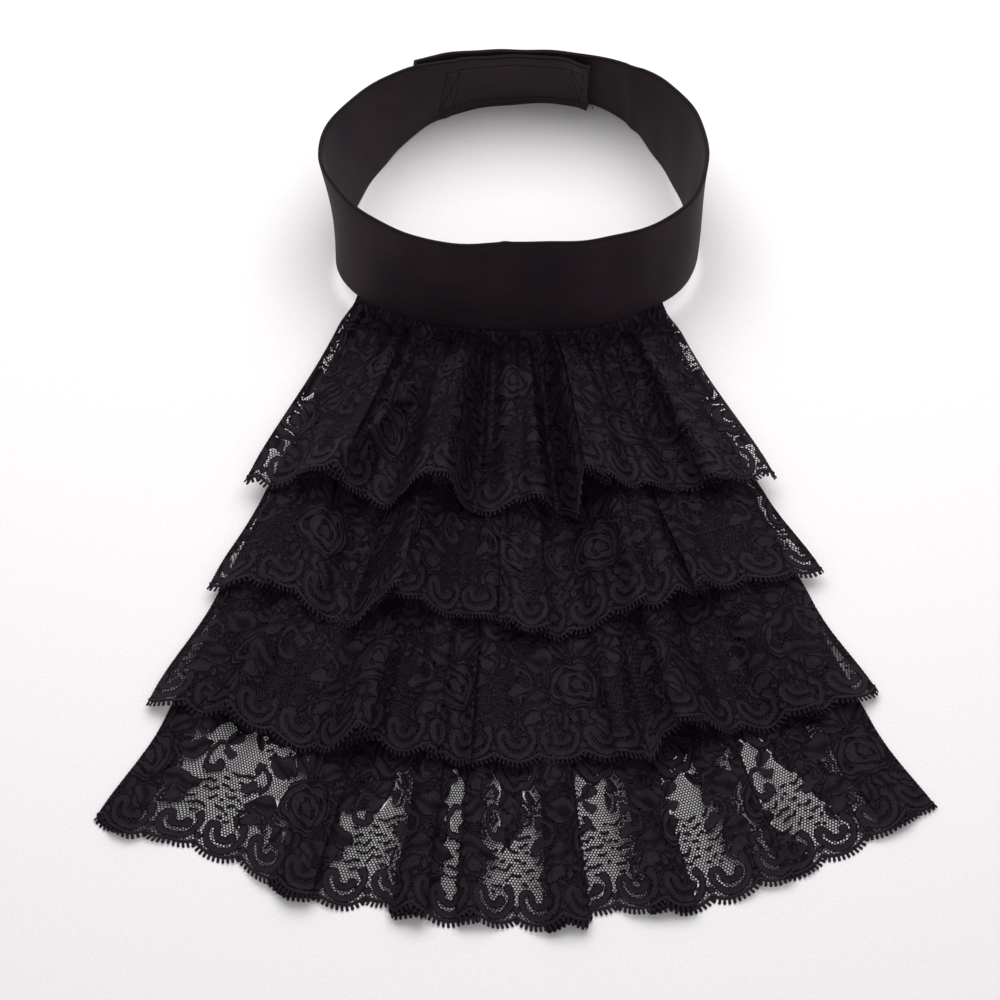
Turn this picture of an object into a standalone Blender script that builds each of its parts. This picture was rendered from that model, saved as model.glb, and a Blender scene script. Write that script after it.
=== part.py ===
"""Lace jabot: a fastened neckband with four gathered tiers of scalloped lace."""
import math

import bpy
import numpy as np

MM = 0.001

# Clear space between two pieces
GAP = 0.3 * MM

# Neckband: a flat strip stood on its lower edge and closed into a ring
BAND_WIDTH = 43 * MM
BAND_WALL = 1.8 * MM
BAND_EDGE = 0.7 * MM
BAND_CENTRE_X = 1.8 * MM
BAND_CENTRE_Y = 125.1 * MM
SECTION_TURN = 4.5
INNER_END = 147.0
OUTER_END = 579.0
LAP_START = 219.0
LAP_FINISH = 507.0
END_GAPE = 2.5 * MM
END_GAPE_TURN = 13.5
LIFT_MARGIN = 3.0
LIFT_FINISH = 150.0

# Sections of the ring. Columns: bearing in degrees from the front of the ring through
# +X to its back, radius at the foot, radius at the rim.
RING = (
    (0, 65.5 * MM, 59.0 * MM),
    (30, 70.5 * MM, 65.0 * MM),
    (60, 77.5 * MM, 75.5 * MM),
    (90, 68.0 * MM, 73.0 * MM),
    (120, 67.0 * MM, 68.5 * MM),
    (150, 75.0 * MM, 60.5 * MM),
    (180, 72.0 * MM, 56.5 * MM),
    (210, 69.5 * MM, 59.5 * MM),
    (240, 64.5 * MM, 68.0 * MM),
    (270, 67.0 * MM, 78.0 * MM),
    (300, 79.5 * MM, 75.0 * MM),
    (330, 70.5 * MM, 67.5 * MM),
)
RING_STEP = 30
FOOT = 1
RIM = 2

# Fastener: the hook and loop tape sewn between the overlapped ends
TAPE_THICKNESS = 1.0 * MM
TAPE_FOOT = 6 * MM
TAPE_RIM = 37 * MM
TAPE_EDGE = 0.35 * MM
TAPE_START = INNER_END + 3 * SECTION_TURN
TAPE_FINISH = INNER_END + 15 * SECTION_TURN

# A leaning strip needs a wider level step to keep its gaps square to the wall
LEAN_ALLOWANCE = 1.12
LAP_STEP = LEAN_ALLOWANCE * (BAND_WALL + TAPE_THICKNESS + 2 * GAP)

# Lace: four ruffles gathered side by side into the foot of the band's front
LACE_WALL = 1.1 * MM
SEAM_MIDDLE = -2.0
SEAM_REACH = 51.0
FAN_MIDDLE = 0.5
FAN_REACH = 19.3
COLUMNS = 84
LEVELS = tuple(v * MM for v in (0, 6, 18, 40, 75, 115, 155, 205, 275))
HEM_MARGIN = 5 * MM
SCALLOP_WIDTH = 14.5 * MM
SCALLOP_DEPTH = 3 * MM
SCALLOP_FULLNESS = 0.6

# Gathers at the seam
GATHERS = 21
GATHER_HEIGHT = 2.4 * MM
GATHER_AT_SEAM = 0.3
GATHER_BLOOM = 14 * MM
GATHER_FADE = 45 * MM
GATHER_END_START = 60 * MM
GATHER_END = 150 * MM
FOLD_RISE = 55 * MM

# Main folds of each tier, a row for each. Columns: place across the seam and place
# across the hem, both from 0 at the left edge to 1 at the right, crest, half width.
FOLDS = {
    1: (
        (0.20, 0.15, 11.0 * MM, 0.085),
        (0.34, 0.355, 9.0 * MM, 0.080),
        (0.48, 0.53, 3.0 * MM, 0.060),
        (0.67, 0.65, 12.0 * MM, 0.070),
        (0.86, 0.90, 5.0 * MM, 0.085),
    ),
    2: (
        (0.10, 0.10, 3.0 * MM, 0.070),
        (0.34, 0.32, 8.0 * MM, 0.090),
        (0.50, 0.50, 2.0 * MM, 0.060),
        (0.71, 0.80, 5.0 * MM, 0.120),
    ),
    3: (
        (0.15, 0.12, 2.5 * MM, 0.060),
        (0.33, 0.31, 6.0 * MM, 0.075),
        (0.47, 0.46, 2.0 * MM, 0.050),
        (0.70, 0.72, 8.0 * MM, 0.080),
        (0.90, 0.90, 2.5 * MM, 0.060),
    ),
    4: (
        (0.06, 0.035, 2.5 * MM, 0.035),
        (0.26, 0.24, 3.0 * MM, 0.040),
        (0.38, 0.38, 3.0 * MM, 0.035),
        (0.46, 0.446, 2.5 * MM, 0.030),
        (0.55, 0.555, 3.0 * MM, 0.038),
        (0.64, 0.656, 3.0 * MM, 0.038),
        (0.75, 0.775, 2.5 * MM, 0.030),
        (0.94, 0.955, 2.5 * MM, 0.040),
    ),
}

# Hem of each tier, a row for each bend in it. Columns: place across, fall from the seam.
FALLS = {
    1: (
        (0.000, 100 * MM),
        (0.060, 96 * MM),
        (0.140, 94 * MM),
        (0.300, 98 * MM),
        (0.380, 94 * MM),
        (0.460, 96 * MM),
        (0.530, 92 * MM),
        (0.600, 94 * MM),
        (0.620, 102 * MM),
        (0.640, 89 * MM),
        (0.700, 92 * MM),
        (0.810, 91 * MM),
        (0.900, 97 * MM),
        (1.000, 97 * MM),
    ),
    2: (
        (0.000, 152 * MM),
        (0.050, 146 * MM),
        (0.100, 142 * MM),
        (0.250, 150 * MM),
        (0.280, 142 * MM),
        (0.360, 140 * MM),
        (0.450, 141 * MM),
        (0.570, 148 * MM),
        (0.610, 144 * MM),
        (0.720, 142 * MM),
        (0.820, 136 * MM),
        (0.900, 139 * MM),
        (1.000, 143 * MM),
    ),
    3: (
        (0.000, 203 * MM),
        (0.100, 196 * MM),
        (0.250, 202 * MM),
        (0.310, 194 * MM),
        (0.350, 197 * MM),
        (0.450, 199 * MM),
        (0.600, 196 * MM),
        (0.680, 201 * MM),
        (0.700, 191 * MM),
        (0.800, 193 * MM),
        (1.000, 196 * MM),
    ),
    4: (
        (0.000, 250 * MM),
        (0.050, 251 * MM),
        (0.090, 246 * MM),
        (0.180, 248 * MM),
        (0.240, 256 * MM),
        (0.310, 255 * MM),
        (0.350, 252 * MM),
        (0.360, 257 * MM),
        (0.490, 258 * MM),
        (0.540, 260 * MM),
        (0.575, 259 * MM),
        (0.585, 253 * MM),
        (0.680, 256 * MM),
        (0.800, 251 * MM),
        (0.880, 247 * MM),
        (1.000, 242 * MM),
    ),
}

BAND_COLOUR = (0.0090, 0.0078, 0.0075, 1.0)
BAND_ROUGHNESS = 0.85
TAPE_COLOUR = (0.0110, 0.0105, 0.0110, 1.0)
TAPE_ROUGHNESS = 0.7
LACE_COLOUR = (0.0075, 0.0062, 0.0090, 1.0)
LACE_ROUGHNESS = 0.75

# Edges sharper than this are shaded sharp, in degrees
SHARP_ON_STRIP = 40
SHARP_ON_LACE = 60


def smoothstep(start, finish, value):
    share = np.clip((value - start) / (finish - start), 0.0, 1.0)
    return share * share * (3.0 - 2.0 * share)


def ring_radius(bearing, column):
    """Smooth radius of the ring at a bearing, read from one column of its table."""
    place = (bearing % 360.0) / RING_STEP
    row = int(place)
    share = place - row
    before, start, finish, after = (
        RING[(row + step) % len(RING)][column] for step in (-1, 0, 1, 2)
    )
    rise = (finish - before) / 2
    leave = (after - start) / 2
    bend = 3 * (finish - start) - 2 * rise - leave
    twist = 2 * (start - finish) + rise + leave
    return start + share * (rise + share * (bend + share * twist))


def ring_plan(bearing, column):
    angle = math.radians(bearing)
    radius = ring_radius(bearing, column)
    return np.array(
        [
            BAND_CENTRE_X + radius * math.sin(angle),
            BAND_CENTRE_Y - radius * math.cos(angle),
        ]
    )


def foot_chord(bearing):
    """Short chord of the ring's foot that spans two degrees about a bearing."""
    return ring_plan(bearing + 1.0, FOOT) - ring_plan(bearing - 1.0, FOOT)


def ring_outward(bearing):
    """Horizontal direction square to the foot of the ring, pointing out of it."""
    along = foot_chord(bearing)
    along /= np.linalg.norm(along)
    return np.array([along[1], -along[0]])


def lap_shift(bearing):
    """The strip starts inside the lap, works outward round the ring and ends outside."""
    outward = LAP_STEP * (smoothstep(LAP_START, LAP_FINISH, bearing) - 0.5)
    gape = END_GAPE * (1 - smoothstep(INNER_END, INNER_END + END_GAPE_TURN, bearing))
    return outward - gape


def seam_stack():
    """Height of the four lace seams that lie under the front of the band."""
    return LACE_TIERS[1]["top"][0].max()


def band_lift(bearing):
    """The front of the band stands on the lace seams and its back on the surface."""
    turn = abs((bearing + 180.0) % 360.0 - 180.0)
    return (seam_stack() + GAP) * (
        1 - smoothstep(SEAM_REACH + LIFT_MARGIN, LIFT_FINISH, turn)
    )


def band_frame(bearing, shift):
    """Foot point of the strip with its up and outward directions."""
    outward = ring_outward(bearing) * shift
    foot = np.append(ring_plan(bearing, FOOT) + outward, band_lift(bearing))
    rim = np.append(ring_plan(bearing, RIM) + outward, foot[2])
    rim[2] += math.sqrt(BAND_WIDTH**2 - float(np.sum((rim - foot) ** 2)))
    up = (rim - foot) / BAND_WIDTH
    out = np.cross(np.append(foot_chord(bearing), 0.0), up)
    return foot, up, out / np.linalg.norm(out)


def make_object(name, vertices, faces, material, sharp_angle):
    mesh = bpy.data.meshes.new(name)
    mesh.from_pydata([tuple(map(float, vertex)) for vertex in vertices], [], faces)
    mesh.materials.append(material)
    mesh.shade_smooth()
    mesh.set_sharp_from_angle(angle=math.radians(sharp_angle))
    piece = bpy.data.objects.new(name, mesh)
    bpy.context.scene.collection.objects.link(piece)
    return piece


def sweep_sections(name, sections, material):
    """Join like outlines into one closed strip with a cap at each end."""
    size = len(sections[0])
    vertices = [vertex for section in sections for vertex in section]
    faces = [tuple(range(size - 1, -1, -1))]
    for row in range(len(sections) - 1):
        for corner in range(size):
            across = (corner + 1) % size
            start = row * size
            faces.append(
                (start + corner, start + across, start + size + across, start + size + corner)
            )
    last = (len(sections) - 1) * size
    faces.append(tuple(range(last, last + size)))
    return make_object(name, vertices, faces, material, SHARP_ON_STRIP)


def strip_section(bearing, shift, foot_height, rim_height, wall, edge):
    """Outline of a strip with its long edges brought to a soft ridge."""
    foot, up, out = band_frame(bearing, shift)
    outline = (
        (foot_height, 0.0),
        (foot_height + edge, -wall / 2),
        (rim_height - edge, -wall / 2),
        (rim_height, 0.0),
        (rim_height - edge, wall / 2),
        (foot_height + edge, wall / 2),
    )
    return [foot + up * height + out * aside for height, aside in outline]


def section_turns(start, finish):
    return np.linspace(start, finish, round((finish - start) / SECTION_TURN) + 1)


def build_neckband(material):
    sections = [
        strip_section(turn, lap_shift(turn), 0.0, BAND_WIDTH, BAND_WALL, BAND_EDGE)
        for turn in section_turns(INNER_END, OUTER_END)
    ]
    return sweep_sections("neckband", sections, material)


def build_fastener(material):
    sections = [
        strip_section(turn, 0.0, TAPE_FOOT, TAPE_RIM, TAPE_THICKNESS, TAPE_EDGE)
        for turn in section_turns(TAPE_START, TAPE_FINISH)
    ]
    return sweep_sections("hook_loop_fastener", sections, material)


def fan_plan(across, fall):
    """Plan position on the spread lace: across from 0 to 1, fall from the seam."""
    aside = 2 * across - 1
    turn = 360.0 + SEAM_MIDDLE + SEAM_REACH * aside
    seam = ring_plan(turn, FOOT) + ring_outward(turn) * lap_shift(turn)
    angle = math.radians(FAN_MIDDLE + FAN_REACH * aside)
    return seam + fall * np.array([math.sin(angle), -math.cos(angle)])


def gather_height(across, fall):
    wave = 0.5 - 0.5 * math.cos(2 * math.pi * GATHERS * across)
    bloom = GATHER_AT_SEAM + (1 - GATHER_AT_SEAM) * smoothstep(0, GATHER_BLOOM, fall)
    fade = math.exp(-max(0.0, fall - GATHER_BLOOM) / GATHER_FADE)
    fade *= 1 - smoothstep(GATHER_END_START, GATHER_END, fall)
    return GATHER_HEIGHT * wave * bloom * fade


def fold_height(tier, across, fall):
    """Height that a tier's own folds add above the layer that it lies on."""
    length = max(hem for _, hem in FALLS[tier])
    height = 0.0
    for seam_place, hem_place, crest, half_width in FOLDS[tier]:
        place = seam_place + (hem_place - seam_place) * min(1.0, fall / length)
        aside = abs(across - place) / half_width
        if aside < 1:
            height += crest * math.cos(aside * math.pi / 2) ** 2
    return height * smoothstep(0, FOLD_RISE, fall)


def steepness(plan, height):
    """How much longer a sloping wall is than its plan, at each grid point."""
    across = np.gradient(height, axis=1) / np.linalg.norm(np.gradient(plan, axis=1), axis=2)
    down = np.gradient(height, axis=0) / np.linalg.norm(np.gradient(plan, axis=0), axis=2)
    return np.sqrt(1 + across**2 + down**2)


def lay_tiers():
    """Lay the tiers on the surface one above another, the longest first."""
    places = np.linspace(0, 1, COLUMNS + 1)
    plan = np.array([[fan_plan(across, fall) for across in places] for fall in LEVELS])
    gathers = np.array([[gather_height(across, fall) for across in places] for fall in LEVELS])
    tiers = {}
    below = gathers
    for tier in sorted(FALLS, reverse=True):
        folds = np.array(
            [[fold_height(tier, across, fall) for across in places] for fall in LEVELS]
        )
        under = below + folds
        if tiers:
            under = under + GAP * steepness(plan, under)
        top = under + LACE_WALL * steepness(plan, under)
        tiers[tier] = {"under": under, "top": top}
        below = top
    return tiers


def hem_fall(tier, across):
    """Fall at the scalloped hem."""
    places, falls = zip(*FALLS[tier])
    base = float(np.interp(across, places, falls))
    left = fan_plan(0.0, base)
    right = fan_plan(1.0, base)
    scallops = round(float(np.linalg.norm(right - left)) / SCALLOP_WIDTH)
    lobe = abs(math.sin(math.pi * scallops * across)) ** SCALLOP_FULLNESS
    return base + SCALLOP_DEPTH * (lobe - 1)


def level_height(heights, column, fall):
    return float(np.interp(fall, LEVELS, heights[:, column]))


def build_tier(tier, material):
    """One ruffle: a closed wall between its upper and under faces."""
    places = np.linspace(0, 1, COLUMNS + 1)
    hem = [hem_fall(tier, across) for across in places]
    rows = [level for level in LEVELS if level < min(hem) - HEM_MARGIN]
    width = COLUMNS + 1
    depth = len(rows) + 1
    vertices = []
    for face in ("top", "under"):
        for row in range(depth):
            for column, across in enumerate(places):
                fall = rows[row] if row < len(rows) else hem[column]
                x, y = fan_plan(across, fall)
                vertices.append((x, y, level_height(LACE_TIERS[tier][face], column, fall)))
    under = width * depth
    faces = []
    for row in range(depth - 1):
        for column in range(COLUMNS):
            near = row * width + column
            far = near + width
            faces.append((near, far, far + 1))
            faces.append((near, far + 1, near + 1))
            faces.append((under + near, under + far + 1, under + far))
            faces.append((under + near, under + near + 1, under + far + 1))
    rim = list(range(width))
    rim += [row * width + COLUMNS for row in range(1, depth)]
    rim += [(depth - 1) * width + column for column in range(COLUMNS - 1, -1, -1)]
    rim += [row * width for row in range(depth - 2, 0, -1)]
    for start, finish in zip(rim, rim[1:] + rim[:1]):
        faces.append((start, finish, under + finish, under + start))
    return make_object(f"lace_tier_{tier}", vertices, faces, material, SHARP_ON_LACE)


def principled(name, colour, roughness):
    material = bpy.data.materials.new(name)
    material.use_nodes = True
    shader = material.node_tree.nodes["Principled BSDF"]
    shader.inputs["Base Color"].default_value = colour
    shader.inputs["Roughness"].default_value = roughness
    shader.inputs["Metallic"].default_value = 0.0
    return material


for leftover in list(bpy.data.objects):
    bpy.data.objects.remove(leftover)

LACE_TIERS = lay_tiers()

build_neckband(principled("neckband_cloth", BAND_COLOUR, BAND_ROUGHNESS))
build_fastener(principled("hook_and_loop_tape", TAPE_COLOUR, TAPE_ROUGHNESS))
lace = principled("lace", LACE_COLOUR, LACE_ROUGHNESS)
for tier in sorted(FALLS):
    build_tier(tier, lace)
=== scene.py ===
# %% [markdown]
# A lace jabot is worn at the throat: a cloth neckband that fastens behind, with ruffles of
# floral lace sewn side by side into the foot of its front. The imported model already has
# the neckband, its fastener and the four ruffles as plain solids. This lesson loads them
# as a fixed frame and dresses each one in real cloth: pierced clothwork, net, picots,
# folds and stitches.

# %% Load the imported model
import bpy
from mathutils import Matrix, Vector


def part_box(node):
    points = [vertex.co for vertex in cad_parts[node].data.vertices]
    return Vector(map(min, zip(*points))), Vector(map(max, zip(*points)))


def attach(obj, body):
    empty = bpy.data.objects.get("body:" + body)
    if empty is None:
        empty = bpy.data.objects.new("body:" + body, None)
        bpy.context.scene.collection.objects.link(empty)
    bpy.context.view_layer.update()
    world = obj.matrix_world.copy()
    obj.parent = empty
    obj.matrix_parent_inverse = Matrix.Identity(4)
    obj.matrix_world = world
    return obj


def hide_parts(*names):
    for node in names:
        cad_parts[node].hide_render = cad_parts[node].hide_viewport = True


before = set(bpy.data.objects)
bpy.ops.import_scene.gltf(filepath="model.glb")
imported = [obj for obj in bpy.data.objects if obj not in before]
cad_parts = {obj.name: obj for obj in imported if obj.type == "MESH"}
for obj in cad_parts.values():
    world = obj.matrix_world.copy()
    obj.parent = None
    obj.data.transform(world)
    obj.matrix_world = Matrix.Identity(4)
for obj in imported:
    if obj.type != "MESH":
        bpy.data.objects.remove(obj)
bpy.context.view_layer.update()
print("nodes:", sorted(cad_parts))

# %% Units and arrays
import math

import bpy
import numpy as np
from mathutils import Vector
from mathutils.bvhtree import BVHTree

MM = 0.001
SCENE = bpy.context.scene


def smoothstep(start, finish, value):
    share = np.clip((value - start) / (finish - start), 0.0, 1.0)
    return share * share * (3.0 - 2.0 * share)


def around(value, centre, period):
    """Distance from the nearest repeat of a centre, with its sign."""
    return (value - centre + period / 2) % period - period / 2


# %% [markdown]
# Every node tree here, for a material or for geometry, is built by one helper. It adds a
# node, sets its properties and its unlinked sockets, and links other sockets into it, so
# each tree reads from top to bottom like a recipe.

# %% Node helper and colour helper
def add_node(tree, kind, settings=None, values=None, links=None):
    node = tree.nodes.new(kind)
    for name, value in (settings or {}).items():
        setattr(node, name, value)
    for socket, value in (values or {}).items():
        node.inputs[socket].default_value = value
    for socket, source in (links or {}).items():
        tree.links.new(source, node.inputs[socket])
    return node


def linear(code):
    """An sRGB hex colour as linear red, green, blue and alpha."""
    shares = [int(code[place : place + 2], 16) / 255 for place in (1, 3, 5)]
    spread = [v / 12.92 if v <= 0.04045 else ((v + 0.055) / 1.055) ** 2.4 for v in shares]
    return (*spread, 1.0)


def new_material(name, colour, roughness, specular, sheen=0.0, sheen_roughness=0.5):
    """A cloth shader with its even values set on its own sockets."""
    material = bpy.data.materials.new(name)
    material.use_nodes = True
    tree = material.node_tree
    shader = tree.nodes["Principled BSDF"]
    shader.inputs["Base Color"].default_value = linear(colour)
    shader.inputs["Roughness"].default_value = roughness
    shader.inputs["Specular IOR Level"].default_value = specular
    shader.inputs["Sheen Weight"].default_value = sheen
    shader.inputs["Sheen Roughness"].default_value = sheen_roughness
    return material, tree, shader


# %% [markdown]
# The flowers, leaves and scrolls of machine lace are called clothwork. They are densely
# laid bright threads, so they catch light: each motif has a raised cord round its edge,
# fine ribs across it and sunk veins. Three attributes on the mesh say how far a point is
# from the edge of its motif, where it lies between two veins, and how far along its ribs.
# The shader turns them into relief, which keeps the ribs at their true size of one
# millimetre. It also paints that relief into the colour: painted highlight on the raised
# cords and ribs, and painted shade in the sunk veins.

# %% Clothwork: bright rayon thread, laid in ribs with corded edges
CORD_WIDTH = 0.75
RIB_PITCH = 1.05
RELIEF = 0.42 * MM


def attribute(tree, name):
    return add_node(tree, "ShaderNodeAttribute", {"attribute_name": name}).outputs["Fac"]


def maths(tree, operation, first, second=None):
    node = add_node(tree, "ShaderNodeMath", {"operation": operation})
    for socket, value in zip(node.inputs, (first, second)):
        if value is None:
            continue
        if hasattr(value, "is_linked"):
            tree.links.new(value, socket)
        else:
            socket.default_value = value
    return node.outputs[0]


def ramp(tree, source, low, high, start=0.0, finish=1.0):
    """Smooth change from start to finish as the source goes from low to high."""
    node = add_node(
        tree,
        "ShaderNodeMapRange",
        {"interpolation_type": "SMOOTHSTEP"},
        {"From Min": low, "From Max": high, "To Min": start, "To Max": finish},
        {"Value": source},
    )
    return node.outputs["Result"]


def mixed_colour(tree, share, first, second):
    node = add_node(tree, "ShaderNodeMix", {"data_type": "RGBA"}, {}, {"Factor": share})
    node.inputs[6].default_value = linear(first)
    node.inputs[7].default_value = linear(second)
    return node.outputs[2]


def clothwork_material():
    material, tree, shader = new_material("lace_clothwork_rayon", "#161017", 0.55, 0.06)
    edge = attribute(tree, "outline")
    rise = ramp(tree, edge, 0.0, CORD_WIDTH * 0.4)
    fallen = ramp(tree, edge, CORD_WIDTH * 0.6, CORD_WIDTH * 1.3, 0.0, 0.4)
    cord = maths(tree, "SUBTRACT", rise, fallen)
    vein = maths(tree, "SINE", maths(tree, "MULTIPLY", attribute(tree, "vein"), math.pi))
    vein = ramp(tree, maths(tree, "ABSOLUTE", vein), 0.05, 0.6)
    phase = maths(tree, "MULTIPLY", attribute(tree, "rib"), 2 * math.pi / RIB_PITCH)
    ribs = maths(tree, "MULTIPLY", maths(tree, "SINE", phase), 0.14)
    flat = add_node(tree, "ShaderNodeUVMap", {"uv_map": "cloth"}).outputs["UV"]
    threads = add_node(
        tree,
        "ShaderNodeTexNoise",
        {},
        {"Scale": 1100.0, "Detail": 3.0, "Roughness": 0.6},
        {"Vector": flat},
    ).outputs["Fac"]
    dense = add_node(
        tree, "ShaderNodeTexNoise", {}, {"Scale": 330.0, "Detail": 2.0}, {"Vector": flat}
    ).outputs["Fac"]
    height = maths(tree, "ADD", maths(tree, "MULTIPLY", cord, vein), ribs)
    height = maths(tree, "ADD", height, maths(tree, "MULTIPLY", threads, 0.35))
    bump = add_node(
        tree, "ShaderNodeBump", {}, {"Distance": RELIEF, "Strength": 1.0}, {"Height": height}
    )
    # Painted highlight and shade: the colour is lighter where the relief height stands high, on the cords
    # and ribs, and darker where it sinks, in the veins. The dense noise adds random tone.
    tone = maths(tree, "ADD", height, maths(tree, "MULTIPLY", dense, 0.9))
    colour = mixed_colour(tree, ramp(tree, tone, 0.45, 1.45), "#090609", "#271e28")
    tree.links.new(bump.outputs["Normal"], shader.inputs["Normal"])
    tree.links.new(colour, shader.inputs["Base Color"])
    return material


CLOTHWORK = clothwork_material()
print("clothwork relief is", RELIEF / MM, "mm deep")

# %% [markdown]
# The ground of the lace is a fine hexagonal net, and the hem is whipped with small loops
# called picots. Both are twisted nylon thread. A thread is far thinner than a pixel, so
# its twist shows only as a slight break-up of its highlight.

# %% Net and hem: black nylon thread
def thread_material(name, colour, roughness, specular, twist):
    material, tree, shader = new_material(name, colour, roughness, specular)
    place = add_node(tree, "ShaderNodeTexCoord").outputs["Object"]
    strands = add_node(
        tree,
        "ShaderNodeTexNoise",
        {},
        {"Scale": 1.0 / twist, "Detail": 2.0},
        {"Vector": place},
    ).outputs["Fac"]
    bump = add_node(
        tree, "ShaderNodeBump", {}, {"Distance": twist / 3, "Strength": 0.6}, {"Height": strands}
    )
    low = "#{:02x}{:02x}{:02x}".format(*(int(int(colour[p : p + 2], 16) * 0.6) for p in (1, 3, 5)))
    tree.links.new(bump.outputs["Normal"], shader.inputs["Normal"])
    tree.links.new(
        mixed_colour(tree, ramp(tree, strands, 0.35, 0.65), low, colour),
        shader.inputs["Base Color"],
    )
    return material


NET_THREAD = thread_material("net_nylon_thread", "#19121b", 0.6, 0.12, 0.35 * MM)
HEM_THREAD = thread_material("hem_cord_rayon_thread", "#281d2a", 0.55, 0.14, 0.5 * MM)
SEWING_THREAD = thread_material("sewing_thread_polyester", "#0d0a0c", 0.7, 0.1, 0.3 * MM)

# %% [markdown]
# The plan of the object comes from the solids: the neckband's ring stands on a closed
# curve, and the lace fans out from the front of that curve in straight lines. The same
# short table and the same two formulas place everything here, so nothing has to be
# fitted by eye.

# %% Plan of the ring and of the fan
BAND_WIDTH = 43 * MM
BAND_WALL = 1.8 * MM
BAND_CENTRE = np.array([1.8 * MM, 125.1 * MM])
INNER_END = 147.0
OUTER_END = 579.0
LAP_START = 219.0
LAP_FINISH = 507.0
LAP_STEP = 1.12 * (1.8 + 1.0 + 0.6) * MM
END_GAPE = 2.5 * MM
END_GAPE_TURN = 13.5
SEAM_MIDDLE = -2.0
SEAM_REACH = 51.0
FAN_MIDDLE = 0.5
FAN_REACH = 19.3
RING_STEP = 30
# Columns: bearing in degrees, radius at the foot, radius at the rim, in millimetres.
RING = np.array(
    (
        (0, 65.5, 59.0),
        (30, 70.5, 65.0),
        (60, 77.5, 75.5),
        (90, 68.0, 73.0),
        (120, 67.0, 68.5),
        (150, 75.0, 60.5),
        (180, 72.0, 56.5),
        (210, 69.5, 59.5),
        (240, 64.5, 68.0),
        (270, 67.0, 78.0),
        (300, 79.5, 75.0),
        (330, 70.5, 67.5),
    )
)
FOOT = 1
RIM = 2


def ring_plan(bearing, column):
    """Smooth closed curve through one column of the ring's table."""
    place = (np.asarray(bearing, float) % 360.0) / RING_STEP
    row = np.floor(place).astype(int)
    share = place - row
    before, start, finish, after = (
        RING[(row + step) % len(RING), column] * MM for step in (-1, 0, 1, 2)
    )
    rise = (finish - before) / 2
    leave = (after - start) / 2
    bend = 3 * (finish - start) - 2 * rise - leave
    twist = 2 * (start - finish) + rise + leave
    radius = start + share * (rise + share * (bend + share * twist))
    angle = np.radians(bearing)
    return BAND_CENTRE + np.stack((radius * np.sin(angle), -radius * np.cos(angle)), -1)


def ring_outward(bearing):
    along = ring_plan(np.asarray(bearing) + 1.0, FOOT) - ring_plan(
        np.asarray(bearing) - 1.0, FOOT
    )
    along /= np.linalg.norm(along, axis=-1, keepdims=True)
    return np.stack((along[..., 1], -along[..., 0]), -1)


def lap_shift(bearing):
    """The strip starts inside the lap at the back and works outward round the ring."""
    outward = LAP_STEP * (smoothstep(LAP_START, LAP_FINISH, bearing) - 0.5)
    gape = END_GAPE * (1 - smoothstep(INNER_END, INNER_END + END_GAPE_TURN, bearing))
    return outward - gape


PLACES = np.linspace(-0.03, 1.03, 531)
SEAM_TURNS = 360.0 + SEAM_MIDDLE + SEAM_REACH * (2 * PLACES - 1)
SEAM_LINE = ring_plan(SEAM_TURNS, FOOT) + ring_outward(SEAM_TURNS) * (
    lap_shift(SEAM_TURNS)[:, None]
)
FAN_ANGLES = np.radians(FAN_MIDDLE + FAN_REACH * (2 * PLACES - 1))


def fan_plan(across, fall):
    """Plan position on the spread lace: across from 0 to 1, fall from the seam."""
    columns = (
        SEAM_LINE[:, 0],
        SEAM_LINE[:, 1],
        np.sin(FAN_ANGLES),
        -np.cos(FAN_ANGLES),
    )
    x, y, right, down = (np.interp(across, PLACES, column) for column in columns)
    return x + fall * right, y + fall * down


def fan_width(fall):
    left = np.array(fan_plan(0.0, fall))
    right = np.array(fan_plan(1.0, fall))
    return float(np.linalg.norm(right - left))


print("fan is", round(fan_width(0) / MM), "mm wide at the seam")

# %% [markdown]
# Each ruffle hangs to its own hem line. The tables give how far the hem falls from the
# seam at a few places across, from the left edge to the right.

# %% Hem lines
# Columns: place across, fall from the seam in millimetres.
HEMS = {
    1: (
        (0.00, 106), (0.06, 102), (0.13, 96), (0.30, 98), (0.38, 94), (0.46, 96),
        (0.53, 92), (0.60, 94), (0.62, 102), (0.64, 89), (0.70, 92), (0.81, 91),
        (0.90, 97), (1.00, 100),
    ),
    2: (
        (0.00, 152), (0.05, 146), (0.10, 142), (0.25, 150), (0.28, 142), (0.36, 140),
        (0.45, 141), (0.57, 148), (0.61, 144), (0.72, 142), (0.82, 136), (0.90, 139),
        (1.00, 143),
    ),
    3: (
        (0.00, 203), (0.10, 196), (0.25, 202), (0.31, 194), (0.35, 197), (0.45, 199),
        (0.60, 196), (0.68, 201), (0.70, 191), (0.80, 193), (1.00, 196),
    ),
    4: (
        (0.00, 250), (0.05, 251), (0.09, 246), (0.18, 248), (0.24, 256), (0.31, 255),
        (0.35, 252), (0.36, 257), (0.49, 258), (0.54, 260), (0.575, 259), (0.585, 253),
        (0.68, 256), (0.80, 251), (0.88, 247), (1.00, 242),
    ),
}
TIERS = sorted(HEMS, reverse=True)


def hem_line(tier, across):
    places, falls = zip(*HEMS[tier])
    return np.interp(across, places, falls) * MM


FALL_LENGTH = {tier: float(hem_line(tier, np.linspace(0, 1, 201)).mean()) for tier in TIERS}
print("falls in mm:", {tier: round(length / MM) for tier, length in FALL_LENGTH.items()})

# %% [markdown]
# How high the lace stands is read from the solids themselves: a ray goes straight down
# onto each ruffle at every place of a grid. The dressed cloth follows those heights, so
# it rests where the CAD says that it rests.

# %% Heights of the ruffles
ACROSS_GRID = np.linspace(0.0, 1.0, 241)
FALL_STEP = 3 * MM
CUSP_MARGIN = 4.5 * MM
EDGE_MARGIN = 0.003


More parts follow.
